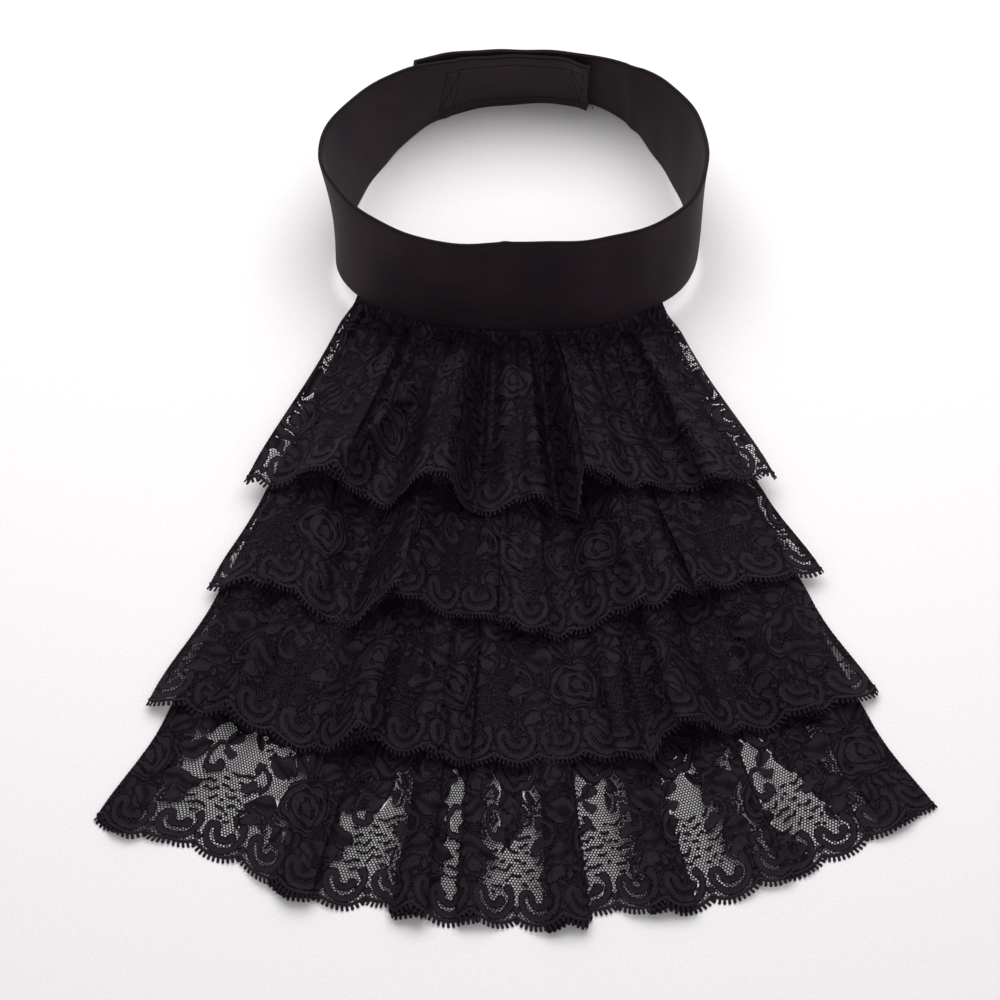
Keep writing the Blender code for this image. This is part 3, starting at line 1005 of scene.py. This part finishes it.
def flat_clothwork(tier, width, low, high, pitch):
    points, faces = lattice(width, low, high, pitch)
    solid, outline, vein, rib = ruffle_chart(tier, points[:, 0], points[:, 1])
    return cut(points, faces, np.stack((solid, outline, vein, rib), 1))


# %% Meshes from arrays
def mesh_object(name, points, faces, material):
    mesh = bpy.data.meshes.new(name)
    mesh.vertices.add(len(points))
    mesh.vertices.foreach_set("co", np.asarray(points, np.float32).ravel())
    mesh.loops.add(faces.size)
    mesh.loops.foreach_set("vertex_index", faces.astype(np.int32).ravel())
    mesh.polygons.add(len(faces))
    corners = faces.shape[1]
    mesh.polygons.foreach_set("loop_start", np.arange(0, faces.size, corners, dtype=np.int32))
    mesh.update(calc_edges=True)
    mesh.validate()
    mesh.materials.append(material)
    piece = bpy.data.objects.new(name, mesh)
    SCENE.collection.objects.link(piece)
    return piece


def add_cloth_map(mesh, flat):
    """Flat position of each corner in metres, as a UV map."""
    layer = mesh.uv_layers.new(name="cloth")
    index = np.zeros(len(mesh.loops), np.int32)
    mesh.loops.foreach_get("vertex_index", index)
    layer.uv.foreach_set("vector", np.asarray(flat[index], np.float32).ravel())


def flat_area(points, faces):
    first, second, third = (points[faces[:, k]] for k in range(3))
    side = second - first
    other = third - first
    return float(np.abs(side[:, 0] * other[:, 1] - side[:, 1] * other[:, 0]).sum() / 2)


# %% Build the clothwork of the four ruffles
HIDDEN_MARGIN = 14 * MM


def shown_rise(tier):
    """How far up from its hem a ruffle shows below the one above it."""
    if UPPER_HEM[tier] is None:
        return FALL_LENGTH[tier]
    places = np.linspace(0, 1, 101)
    gap = hem_line(tier, places) - hem_line(UPPER_HEM[tier], places)
    return float(gap.max()) + HIDDEN_MARGIN


def build_clothwork(tier):
    width = STRIPS[tier]["width"] / MM
    shown = shown_rise(tier) / MM
    length = FALL_LENGTH[tier] / MM
    bands = [(0.0, shown, FINE)]
    if UPPER_HEM[tier]:
        bands.append((shown, length, COARSE))
    points, faces, values, count = [], [], [], 0
    for low, high, pitch in bands:
        some_points, some_faces, some_values = flat_clothwork(tier, width, low, high, pitch)
        points.append(some_points)
        faces.append(some_faces + count)
        values.append(some_values)
        count += len(some_points)
    flat = np.concatenate(points) * MM
    faces = np.concatenate(faces)
    values = np.concatenate(values)
    lifted = np.column_stack((flat, np.full(len(flat), 0.12 * MM)))
    piece = mesh_object(f"tier_{tier}_clothwork", gather_solid(tier, lifted), faces, CLOTHWORK)
    piece.data.shade_smooth()
    add_cloth_map(piece.data, flat)
    for name, column in (("outline", 1), ("vein", 2), ("rib", 3)):
        layer = piece.data.attributes.new(name, "FLOAT", "POINT")
        layer.data.foreach_set("value", values[:, column].astype(np.float32))
    area = flat_area(flat, faces)
    print(f"{piece.name}: {len(faces)} triangles, {area * 1e4:.0f} cm2 of clothwork")
    return piece, area


CLOTHWORKS = {tier: build_clothwork(tier) for tier in TIERS}

# %% [markdown]
# The net ground has cells about one millimetre across. A net is the dual of a triangle
# grid: put a point in each triangle, join the points of neighbouring triangles, and
# hexagons appear. Geometry Nodes has a node for the dual, another that turns its edges to
# curves, and another that gives a curve a width, so three nodes weave the whole ground.
# The net is laid only where the chart has no clothwork, with a little overlap.

# %% A tree that weaves a hexagonal net
def new_tree(name, sizes):
    """A geometry tree with a geometry input, named sizes and a geometry output."""
    tree = bpy.data.node_groups.new(name, "GeometryNodeTree")
    sockets = tree.interface
    sockets.new_socket("Geometry", in_out="INPUT", socket_type="NodeSocketGeometry")
    for size in sizes:
        sockets.new_socket(size, in_out="INPUT", socket_type="NodeSocketFloat")
    sockets.new_socket("Geometry", in_out="OUTPUT", socket_type="NodeSocketGeometry")
    return tree, add_node(tree, "NodeGroupInput").outputs


def finish_tree(tree, geometry, material):
    """Every tree ends the same way: instances made real, then the material."""
    real = add_node(tree, "GeometryNodeRealizeInstances", links={"Geometry": geometry})
    dressed = add_node(
        tree,
        "GeometryNodeSetMaterial",
        values={"Material": material},
        links={"Geometry": real.outputs[0]},
    )
    add_node(tree, "NodeGroupOutput", links={"Geometry": dressed.outputs[0]})


def run_tree(source, tree, sizes):
    """Run a tree on an object and give back the result as a plain mesh."""
    modifier = source.modifiers.new(tree.name, "NODES")
    modifier.node_group = tree
    for item in tree.interface.items_tree:
        if item.in_out == "INPUT" and item.name in sizes:
            modifier[item.identifier] = sizes[item.name]
    evaluated = source.evaluated_get(bpy.context.evaluated_depsgraph_get())
    mesh = bpy.data.meshes.new_from_object(evaluated)
    source.modifiers.remove(modifier)
    bpy.data.objects.remove(source)
    return mesh


def net_tree():
    tree, given = new_tree("weave_net", ("Thread",))
    cells = add_node(tree, "GeometryNodeDualMesh", links={"Mesh": given["Geometry"]})
    strands = add_node(
        tree, "GeometryNodeMeshToCurve", links={"Mesh": cells.outputs[0]}
    )
    level = add_node(
        tree,
        "GeometryNodeSetCurveNormal",
        {"mode": "Z_UP"},
        links={"Curve": strands.outputs[0]},
    )
    halves = []
    for side in (-0.5, 0.5):
        half = add_node(
            tree,
            "ShaderNodeMath",
            {"operation": "MULTIPLY"},
            {1: side},
            {0: given["Thread"]},
        )
        halves.append(
            add_node(tree, "ShaderNodeCombineXYZ", links={"X": half.outputs[0]}).outputs[0]
        )
    ribbon = add_node(
        tree,
        "GeometryNodeCurvePrimitiveLine",
        links={"Start": halves[0], "End": halves[1]},
    )
    threads = add_node(
        tree,
        "GeometryNodeCurveToMesh",
        links={"Curve": level.outputs[0], "Profile Curve": ribbon.outputs[0]},
    )
    finish_tree(tree, threads.outputs[0], NET_THREAD)
    return tree


NET_TREE = net_tree()

# %% Weave the net of the four ruffles
NET_PITCH = 1.12
HIDDEN_NET_PITCH = 2.2
NET_THREAD_WIDTH = 0.4 * MM
HIDDEN_THREAD_WIDTH = 0.5 * MM
NET_OVERLAP = 1.0
NET_ABOVE_HEM = 1.6


def join_meshes(name, meshes, material):
    """One object from several plain meshes, with their places kept."""
    points, faces, count = [], [], 0
    for mesh in meshes:
        mesh.calc_loop_triangles()
        place = np.zeros(len(mesh.vertices) * 3, np.float32)
        corners = np.zeros(len(mesh.loop_triangles) * 3, np.int32)
        mesh.vertices.foreach_get("co", place)
        mesh.loop_triangles.foreach_get("vertices", corners)
        points.append(place.reshape(-1, 3).astype(float))
        faces.append(corners.reshape(-1, 3) + count)
        count += len(mesh.vertices)
        bpy.data.meshes.remove(mesh)
    return name, np.concatenate(points), np.concatenate(faces), material


def open_lattice(tier, low, high, pitch):
    """The triangle grid under the net, only where the chart is open."""
    width = STRIPS[tier]["width"] / MM
    points, faces = lattice(width, low, high, pitch)
    solid = ruffle_chart(tier, points[:, 0], points[:, 1])[0]
    above_hem = points[:, 1] - hem_rise(points[:, 0] + PHASE[tier]) > NET_ABOVE_HEM
    keep = (solid > -NET_OVERLAP) & above_hem
    faces = faces[keep[faces].all(1)]
    used, faces = np.unique(faces, return_inverse=True)
    flat = np.column_stack((points[used] * MM, np.zeros(len(used))))
    return mesh_object("open_ground", flat, faces.reshape(-1, 3), NET_THREAD)


def build_net(tier):
    shown = shown_rise(tier) / MM
    bands = [(0.0, shown, NET_PITCH, NET_THREAD_WIDTH)]
    if UPPER_HEM[tier]:
        length = FALL_LENGTH[tier] / MM
        bands.append((shown, length, HIDDEN_NET_PITCH, HIDDEN_THREAD_WIDTH))
    meshes = [
        run_tree(open_lattice(tier, low, high, pitch), NET_TREE, {"Thread": thread})
        for low, high, pitch, thread in bands
    ]
    name, flat, faces, material = join_meshes(f"tier_{tier}_net", meshes, NET_THREAD)
    piece = mesh_object(name, gather_solid(tier, flat), faces, material)
    print(f"{piece.name}: {len(faces)} triangles")
    return piece


NETS = {tier: build_net(tier) for tier in TIERS}

# %% [markdown]
# The hem is finished with a cord, and below it a fringe of picots: short slanting ticks
# with thick free ends. One tick is a mesh of a few faces. Geometry Nodes walks
# along the scalloped line, drops a tick at every pitch and turns it to the line.

# %% A tree that trims a hem
PICOT_PITCH = 1.45 * MM
PICOT_LENGTH = 2.3 * MM
PICOT_LEAN = 0.3 * MM
CORD_HEIGHT = 2.3
CORD_RADIUS = 0.6 * MM


def bar(start, finish, first, last, depth):
    """A four-sided bar in the plane of the lace, from one point to another."""
    start = np.array(start)
    finish = np.array(finish)
    along = (finish - start) / np.linalg.norm(finish - start)
    aside = np.array([-along[1], along[0], 0.0])
    up = np.array([0.0, 0.0, 1.0])
    corners = []
    for point, half in ((start, first), (finish, last)):
        for side, rise in ((1, 0), (0, 1), (-1, 0), (0, -1)):
            corners.append(point + aside * half * side + up * depth * rise)
    faces = [(k, (k + 1) % 4, 4 + (k + 1) % 4, 4 + k) for k in range(4)]
    return corners, faces + [(3, 2, 1, 0), (4, 5, 6, 7)]


def picot_tick():
    """One tick of the fringe, thicker at its free end."""
    neck = (0.6 * PICOT_LEAN, -0.6 * PICOT_LENGTH, 0.0)
    tip = (PICOT_LEAN, -PICOT_LENGTH, 0.0)
    points, faces = bar((0.0, 0.0, 0.0), neck, 0.42 * MM, 0.46 * MM, 0.35 * MM)
    more_points, more_faces = bar(neck, tip, 0.52 * MM, 0.46 * MM, 0.4 * MM)
    faces += [tuple(corner + len(points) for corner in face) for face in more_faces]
    points += more_points
    mesh = bpy.data.meshes.new("picot_tick")
    mesh.from_pydata([tuple(point) for point in points], [], faces)
    tick = bpy.data.objects.new("picot_tick", mesh)
    SCENE.collection.objects.link(tick)
    return tick


def hem_tree(tick):
    tree, given = new_tree("trim_hem", ("Pitch", "Cord radius"))
    spots = add_node(
        tree,
        "GeometryNodeCurveToPoints",
        {"mode": "LENGTH"},
        links={"Curve": given["Geometry"], "Length": given["Pitch"]},
    )
    turned = add_node(
        tree,
        "FunctionNodeAlignRotationToVector",
        {"axis": "X", "pivot_axis": "Z"},
        links={"Vector": spots.outputs["Tangent"]},
    )
    shape = add_node(tree, "GeometryNodeObjectInfo", values={"Object": tick})
    ticks = add_node(
        tree,
        "GeometryNodeInstanceOnPoints",
        links={
            "Points": spots.outputs["Points"],
            "Instance": shape.outputs["Geometry"],
            "Rotation": turned.outputs[0],
        },
    )
    ring = add_node(
        tree,
        "GeometryNodeCurvePrimitiveCircle",
        values={"Resolution": 5},
        links={"Radius": given["Cord radius"]},
    )
    cord = add_node(
        tree,
        "GeometryNodeCurveToMesh",
        links={"Curve": given["Geometry"], "Profile Curve": ring.outputs["Curve"]},
    )
    both = add_node(tree, "GeometryNodeJoinGeometry")
    for part in (ticks.outputs[0], cord.outputs[0]):
        tree.links.new(part, both.inputs[0])
    finish_tree(tree, both.outputs[0], HEM_THREAD)
    return tree


TICK = picot_tick()
HEM_TREE = hem_tree(TICK)


# %% Trim the four hems
def curve_object(name, points):
    """An open curve through points, as straight pieces."""
    curve = bpy.data.curves.new(name, "CURVE")
    curve.dimensions = "3D"
    spline = curve.splines.new("POLY")
    spline.points.add(len(points) - 1)
    spline.points.foreach_set("co", np.column_stack((points, np.ones(len(points)))).ravel())
    line = bpy.data.objects.new(name, curve)
    SCENE.collection.objects.link(line)
    return line


def build_hem(tier):
    width = STRIPS[tier]["width"] / MM
    strip = np.arange(0.3, width - 0.3, 0.6)
    rise = hem_rise(strip + PHASE[tier]) + CORD_HEIGHT
    line = curve_object(
        "hem_line", np.column_stack((strip * MM, rise * MM, np.zeros(len(strip))))
    )
    mesh = run_tree(line, HEM_TREE, {"Pitch": PICOT_PITCH, "Cord radius": CORD_RADIUS})
    name, flat, faces, material = join_meshes(f"tier_{tier}_hem_trim", [mesh], HEM_THREAD)
    piece = mesh_object(name, gather_solid(tier, flat), faces, material)
    print(f"{piece.name}: {len(faces)} triangles")
    return piece


HEM_TRIMS = {tier: build_hem(tier) for tier in TIERS}
bpy.data.objects.remove(TICK)

# %% [markdown]
# The clothwork is a sheet of cloth: its flat size is that of the strip, and its area is
# less, because it is pierced. It goes onto the root body with its net and hem trim, and
# the plain CAD ruffle is hidden.

# %% Attach the lace to the root and hide the CAD ruffles
for tier in TIERS:
    sheet_piece, sheet_area = CLOTHWORKS[tier]
    for piece in (sheet_piece, NETS[tier], HEM_TRIMS[tier]):
        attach(piece, "root")
    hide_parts(f"lace_tier_{tier}")

# %% [markdown]
# The neckband is a strip of closely woven cloth, folded over a stiffener and pressed,
# so its long edges are soft folds and its faces are flat and matt. It is swept round the
# ring: the same cross-section with rounded edges is placed every one and a half degrees.

# %% Neckband cloth: peached polyester, woven fine and pressed
INNER_FACE = 60 * MM


def band_material():
    material, tree, shader = new_material("neckband_peached_weave", "#251b21", 0.8, 0.12, 0.05)
    flat = add_node(tree, "ShaderNodeUVMap", {"uv_map": "cloth"}).outputs["UV"]
    stretched = add_node(
        tree, "ShaderNodeMapping", values={"Scale": (60.0, 1100.0, 1.0)}, links={"Vector": flat}
    )
    slubs = add_node(
        tree,
        "ShaderNodeTexNoise",
        {},
        {"Scale": 1.0, "Detail": 3.0, "Roughness": 0.65},
        {"Vector": stretched.outputs[0]},
    ).outputs["Fac"]
    warp = add_node(
        tree,
        "ShaderNodeTexWave",
        {"bands_direction": "X"},
        {"Scale": 550.0, "Distortion": 1.5, "Detail": 1.0, "Detail Scale": 2.0},
        {"Vector": flat},
    ).outputs["Fac"]
    weft = add_node(
        tree,
        "ShaderNodeTexWave",
        {"bands_direction": "Y"},
        {"Scale": 550.0, "Distortion": 1.5, "Detail": 1.0, "Detail Scale": 2.0},
        {"Vector": flat},
    ).outputs["Fac"]
    nap = add_node(
        tree,
        "ShaderNodeTexNoise",
        {},
        {"Scale": 2500.0, "Detail": 4.0, "Roughness": 0.7},
        {"Vector": flat},
    ).outputs["Fac"]
    patches = add_node(
        tree, "ShaderNodeTexNoise", {}, {"Scale": 28.0, "Detail": 4.0}, {"Vector": flat}
    ).outputs["Fac"]
    height = maths(tree, "ADD", maths(tree, "MULTIPLY", warp, 0.3), maths(tree, "MULTIPLY", weft, 0.3))
    height = maths(tree, "ADD", height, maths(tree, "MULTIPLY", nap, 0.6))
    height = maths(tree, "ADD", height, maths(tree, "MULTIPLY", slubs, 0.5))
    bump = add_node(
        tree, "ShaderNodeBump", {}, {"Distance": 0.12 * MM, "Strength": 0.8}, {"Height": height}
    )
    lint = add_node(
        tree, "ShaderNodeTexVoronoi", {}, {"Scale": 34.0, "Randomness": 1.0}, {"Vector": flat}
    ).outputs["Distance"]
    tone = maths(tree, "ADD", maths(tree, "MULTIPLY", slubs, 0.35), maths(tree, "MULTIPLY", patches, 0.65))
    colour = mixed_colour(tree, ramp(tree, tone, 0.3, 0.7), "#20171d", "#30242b")
    speck = add_node(tree, "ShaderNodeMix", {"data_type": "RGBA"})
    tree.links.new(ramp(tree, lint, 0.009, 0.016, 0.8, 0.0), speck.inputs[0])
    tree.links.new(colour, speck.inputs[6])
    speck.inputs[7].default_value = linear("#6b6566")
    # Painted shade: along both long folded edges, on the inner and the outer face, the colour darkens to
    # near black. It takes off the highlight that the rounded folds catch.
    height = add_node(tree, "ShaderNodeSeparateXYZ", links={"Vector": flat}).outputs["Y"]
    height = maths(tree, "FLOORED_MODULO", height, INNER_FACE)
    middle = BAND_WIDTH / 2
    height = maths(tree, "ABSOLUTE", maths(tree, "SUBTRACT", height, middle))
    painted_edge_shade = add_node(tree, "ShaderNodeMix", {"data_type": "RGBA"})
    fold = ramp(tree, height, middle - 1.2 * MM, middle - 0.4 * MM, 0.0, 0.85)
    tree.links.new(fold, painted_edge_shade.inputs[0])
    tree.links.new(speck.outputs[2], painted_edge_shade.inputs[6])
    painted_edge_shade.inputs[7].default_value = linear("#0e090c")
    tree.links.new(painted_edge_shade.outputs[2], shader.inputs["Base Color"])
    tree.links.new(bump.outputs["Normal"], shader.inputs["Normal"])
    return material


BAND_CLOTH = band_material()

# %% Sweep the neckband
SEAM_LIFT = float(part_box("neckband")[0].z)
SECTION_TURN = 1.5
FACE_ROWS = 14
EDGE_ROWS = 5
CREASES = (
    (348.0, 356.0, 0.020, 0.043, 0.55 * MM, 1.6),
    (498.0, 494.0, 0.000, 0.043, 0.7 * MM, 2.0),
    (205.5, 206.5, 0.000, 0.043, 0.4 * MM, 1.4),
)


def band_lift(bearing):
    """The front stands on the lace seams and the back on the floor."""
    stack = float(HEIGHTS[1][0].max()) + 0.3 * MM
    turn = np.abs((bearing + 180.0) % 360.0 - 180.0)
    return stack * (1 - smoothstep(SEAM_REACH + 3, 150.0, turn))


def band_frame(bearing, shift):
    """Foot point of the strip, with its up and outward directions."""
    outward = ring_outward(bearing) * shift
    foot = np.append(ring_plan(bearing, FOOT) + outward, band_lift(bearing))
    rim = np.append(ring_plan(bearing, RIM) + outward, foot[2])
    rim[2] += math.sqrt(BAND_WIDTH**2 - float(np.sum((rim - foot) ** 2)))
    up = (rim - foot) / BAND_WIDTH
    tangent = np.append(ring_plan(bearing + 1, FOOT) - ring_plan(bearing - 1, FOOT), 0.0)
    out = np.cross(tangent, up)
    return foot, up, out / np.linalg.norm(out)


def strip_outline(low, high, wall, edge):
    """Cross-section of a pressed strip: flat faces between rounded folds."""
    rows = np.linspace(low + edge, high - edge, FACE_ROWS)
    fold = np.linspace(-90, 90, EDGE_ROWS + 2)[1:-1]
    bottom = [
        (low + edge - edge * math.cos(math.radians(turn)), wall / 2 * math.sin(math.radians(turn)))
        for turn in fold[::-1]
    ]
    top = [
        (high - edge + edge * math.cos(math.radians(turn)), wall / 2 * math.sin(math.radians(turn)))
        for turn in fold
    ]
    inner = [(height, -wall / 2) for height in rows]
    outer = [(height, wall / 2) for height in rows[::-1]]
    return bottom + inner + top + outer


END_SKEW = 8.0
END_SKEW_TURN = 30.0


def end_skew(bearing, height):
    """The inner end is cut aslant, so its foot stops short of its rim."""
    near_end = 1 - smoothstep(INNER_END, INNER_END + END_SKEW_TURN, bearing)
    return END_SKEW * float(near_end) * (1 - height / BAND_WIDTH)


def dent(bearing, height):
    """How far a crease or a soft hollow pushes the cloth in at a place."""
    depth = 0.28 * MM * math.sin(bearing * 0.11 + height / (9 * MM))
    depth += 0.18 * MM * math.sin(bearing * 0.31 + 2.0 - height / (14 * MM))
    for foot_turn, rim_turn, low, high, deep, wide in CREASES:
        if low <= height <= high:
            share = (height - low) / (high - low)
            turn = foot_turn + (rim_turn - foot_turn) * share
            depth += deep * math.exp(-(((bearing - turn) / wide) ** 2))
    return depth


def sweep_strip(name, turns, outline, shift, soft, material):
    """Sweep a cross-section round the ring, with a closed cap at each end."""
    points, flat = [], []
    walked = 0.0
    before = None
    for turn in turns:
        foot = band_frame(turn, shift(turn))[0]
        walked += 0.0 if before is None else float(np.linalg.norm(foot - before))
        before = foot
        for height, aside in outline:
            place = turn + (end_skew(turn, height) if soft else 0.0)
            foot, up, out = band_frame(place, shift(place))
            inward = dent(place, height) if soft else 0.0
            points.append(foot + up * height + out * (aside - inward))
            flat.append((walked, height + (INNER_FACE if aside < 0 else 0.0)))
    size = len(outline)
    row, corner = np.meshgrid(np.arange(len(turns) - 1), np.arange(size), indexing="ij")
    first = (row * size + corner).ravel()
    second = (row * size + (corner + 1) % size).ravel()
    faces = np.concatenate(
        (
            np.stack((first, second, second + size), 1),
            np.stack((first, second + size, first + size), 1),
        )
    )
    last = (len(turns) - 1) * size
    fan = np.arange(1, size - 1)
    start_cap = np.stack((np.zeros(size - 2, int), fan + 1, fan), 1)
    end_cap = np.stack((np.full(size - 2, last), last + fan, last + fan + 1), 1)
    faces = np.concatenate((faces, start_cap, end_cap))
    piece = mesh_object(name, np.array(points), faces, material)
    piece.data.shade_smooth()
    piece.data.set_sharp_from_angle(angle=math.radians(60))
    add_cloth_map(piece.data, np.array(flat))
    return piece, walked


def turns_between(start, finish):
    return np.linspace(start, finish, round((finish - start) / SECTION_TURN) + 1)


BAND, BAND_LENGTH = sweep_strip(
    "neckband_strip",
    turns_between(INNER_END, OUTER_END),
    strip_outline(0.0, BAND_WIDTH, BAND_WALL, 0.8 * MM),
    lambda turn: float(lap_shift(turn)),
    True,
    BAND_CLOTH,
)
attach(BAND, "root")
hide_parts("neckband")
print(f"neckband: {BAND_LENGTH / MM:.0f} mm of strip")

# %% [markdown]
# The neckband closes with hook and loop tape between its overlapped ends. Only a sliver
# of it can ever be seen, yet the tape has its own look: rows of tiny hooks on a woven
# ground.

# %% Hook and loop tape
TAPE_START = INNER_END + 13.5
TAPE_FINISH = INNER_END + 67.5


def tape_material():
    material, tree, shader = new_material("hook_and_loop_nylon", "#181719", 0.6, 0.2)
    flat = add_node(tree, "ShaderNodeUVMap", {"uv_map": "cloth"}).outputs["UV"]
    hooks = add_node(
        tree, "ShaderNodeTexVoronoi", {}, {"Scale": 650.0, "Randomness": 0.35}, {"Vector": flat}
    ).outputs["Distance"]
    bump = add_node(
        tree, "ShaderNodeBump", {"invert": True}, {"Distance": 0.5 * MM}, {"Height": hooks}
    )
    colour = mixed_colour(tree, ramp(tree, hooks, 0.1, 0.6), "#262427", "#0d0c0e")
    tree.links.new(bump.outputs["Normal"], shader.inputs["Normal"])
    tree.links.new(colour, shader.inputs["Base Color"])
    return material


TAPE, TAPE_LENGTH = sweep_strip(
    "hook_loop_tape",
    turns_between(TAPE_START, TAPE_FINISH),
    strip_outline(6 * MM, 37 * MM, 1.0 * MM, 0.35 * MM),
    lambda turn: 0.0,
    False,
    tape_material(),
)
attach(TAPE, "root")
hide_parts("hook_loop_fastener")
print(f"tape: {TAPE_LENGTH / MM:.0f} mm")

# %% [markdown]
# The tape is held by machine stitches through the inner end of the band. They run in a
# long rectangle with a boxed cross at each end. A curve follows the face of the band,
# and Geometry Nodes sets one small capsule of thread at each stitch length.

# %% Stitches
STITCH = 2.5 * MM
STITCH_GAP = 0.5 * MM
THREAD_RADIUS = 0.17 * MM
BOX_LOW = 7.5 * MM
BOX_HIGH = 36 * MM


def on_inner_face(bearing, height):
    """A point just proud of the inner face of the band."""
    foot, up, out = band_frame(bearing, float(lap_shift(bearing)))
    inward = BAND_WALL / 2 + dent(bearing, height) + 0.05 * MM
    return foot + up * height - out * inward


def stitch_path(corners):
    points = []
    for (turn, height), (next_turn, next_height) in zip(corners, corners[1:]):
        steps = max(2, int(abs(next_turn - turn) / 1.5) + 6)
        for share in np.linspace(0, 1, steps, endpoint=False):
            points.append(
                on_inner_face(turn + (next_turn - turn) * share, height + (next_height - height) * share)
            )
    points.append(on_inner_face(*corners[-1]))
    return np.array(points)


def stitch_tree():
    tree, given = new_tree("run_of_stitches", ("Stitch", "Gap", "Radius"))
    spots = add_node(
        tree,
        "GeometryNodeCurveToPoints",
        {"mode": "LENGTH"},
        links={"Curve": given["Geometry"], "Length": given["Stitch"]},
    )
    turned = add_node(
        tree,
        "FunctionNodeAlignRotationToVector",
        {"axis": "Z"},
        links={"Vector": spots.outputs["Tangent"]},
    )
    ball = add_node(
        tree,
        "GeometryNodeMeshIcoSphere",
        values={"Subdivisions": 2},
        links={"Radius": given["Radius"]},
    )
    long = add_node(
        tree,
        "ShaderNodeMath",
        {"operation": "SUBTRACT"},
        links={0: given["Stitch"], 1: given["Gap"]},
    )
    half = add_node(
        tree, "ShaderNodeMath", {"operation": "DIVIDE"}, links={0: long.outputs[0], 1: given["Radius"]}
    )
    stretch = add_node(
        tree, "ShaderNodeMath", {"operation": "MULTIPLY"}, {1: 0.5}, {0: half.outputs[0]}
    )
    size = add_node(
        tree, "ShaderNodeCombineXYZ", values={"X": 1.0, "Y": 1.0}, links={"Z": stretch.outputs[0]}
    )
    stitches = add_node(
        tree,
        "GeometryNodeInstanceOnPoints",
        links={
            "Points": spots.outputs["Points"],
            "Instance": ball.outputs["Mesh"],
            "Rotation": turned.outputs[0],
            "Scale": size.outputs[0],
        },
    )
    finish_tree(tree, stitches.outputs[0], SEWING_THREAD)
    return tree


STITCH_TREE = stitch_tree()
LEFT, RIGHT, BOX_TURN = 209.0, 151.0, 6.0
STITCH_RUNS = [
    ((LEFT, BOX_LOW), (LEFT, BOX_HIGH), (RIGHT, BOX_HIGH), (RIGHT, BOX_LOW), (LEFT, BOX_LOW)),
]
for end, inner in ((LEFT, LEFT - BOX_TURN), (RIGHT, RIGHT + BOX_TURN)):
    STITCH_RUNS.append(((inner, BOX_LOW), (inner, BOX_HIGH)))
    STITCH_RUNS.append(((end, BOX_LOW), (inner, BOX_HIGH)))
    STITCH_RUNS.append(((end, BOX_HIGH), (inner, BOX_LOW)))
stitch_meshes = [
    run_tree(
        curve_object("stitch_run", stitch_path(run)),
        STITCH_TREE,
        {"Stitch": STITCH, "Gap": STITCH_GAP, "Radius": THREAD_RADIUS},
    )
    for run in STITCH_RUNS
]
STITCHES = mesh_object(*join_meshes("fastener_stitches", stitch_meshes, SEWING_THREAD))
STITCHES.data.shade_smooth()
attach(STITCHES, "root")
print(f"stitches: {len(STITCHES.data.polygons)} triangles")

for tier in TIERS:
    sheet_piece, sheet_area = CLOTHWORKS[tier]

# %% [markdown]
# The jabot lies on a white card in a light tent. The card is slightly warm, and the
# light is broad and soft, brighter from behind than from the front, so the shadows are
# short and pale.

# %% Card, light and camera
def card_material():
    material, tree, shader = new_material("matt_white_card", "#f5f2f2", 0.75, 0.3)
    place = add_node(tree, "ShaderNodeTexCoord").outputs["Object"]
    pulp = add_node(
        tree, "ShaderNodeTexNoise", {}, {"Scale": 900.0, "Detail": 3.0}, {"Vector": place}
    ).outputs["Fac"]
    bump = add_node(
        tree, "ShaderNodeBump", {}, {"Distance": 0.05 * MM, "Strength": 0.3}, {"Height": pulp}
    )
    colour = mixed_colour(tree, ramp(tree, pulp, 0.2, 0.8), "#f4f0f0", "#f8f6f6")
    tree.links.new(bump.outputs["Normal"], shader.inputs["Normal"])
    tree.links.new(colour, shader.inputs["Base Color"])
    return material


card_corners = np.array([(-2, -2, 0), (2, -2, 0), (2, 2, 0), (-2, 2, 0)], float)
card_corners[:, 2] = -0.05 * MM
CARD = mesh_object("white_card", card_corners, np.array([(0, 1, 2), (0, 2, 3)]), card_material())

world = bpy.data.worlds.new("light_tent")
SCENE.world = world
world.use_nodes = True
world.node_tree.nodes["Background"].inputs["Color"].default_value = linear("#fdfdff")
world.node_tree.nodes["Background"].inputs["Strength"].default_value = 0.37

# Columns: name, place, aim, size and power in watts.
LAMPS = (
    ("overhead_softbox", (0.0, 0.42, 0.75), (0.0, 0.42, 0.0), 1.0, 7.8),
    ("front_fill", (0.1, -1.2, 0.95), (0.0, -0.05, 0.0), 0.9, 3.4),
)
for name, place, aim, size, power in LAMPS:
    lamp = bpy.data.lights.new(name, "AREA")
    lamp.shape = "SQUARE"
    lamp.size = size
    lamp.energy = power
    holder = bpy.data.objects.new(name, lamp)
    SCENE.collection.objects.link(holder)
    holder.location = place
    holder.rotation_euler = (Vector(aim) - Vector(place)).to_track_quat("-Z", "Y").to_euler()

CAMERA_TILT = 52.0
CAMERA_DISTANCE = 0.93
LOOK_AT = np.array([-4.2 * MM, -18.9 * MM, 0.0])
camera = bpy.data.cameras.new("camera")
camera.lens = 90
camera.sensor_width = 36
viewer = bpy.data.objects.new("camera", camera)
SCENE.collection.objects.link(viewer)
down = math.radians(CAMERA_TILT)
viewer.location = LOOK_AT + CAMERA_DISTANCE * np.array([0.0, -math.cos(down), math.sin(down)])
viewer.rotation_euler = (math.pi / 2 - down, 0.0, 0.0)
SCENE.camera = viewer
SCENE.view_settings.view_transform = "Standard"
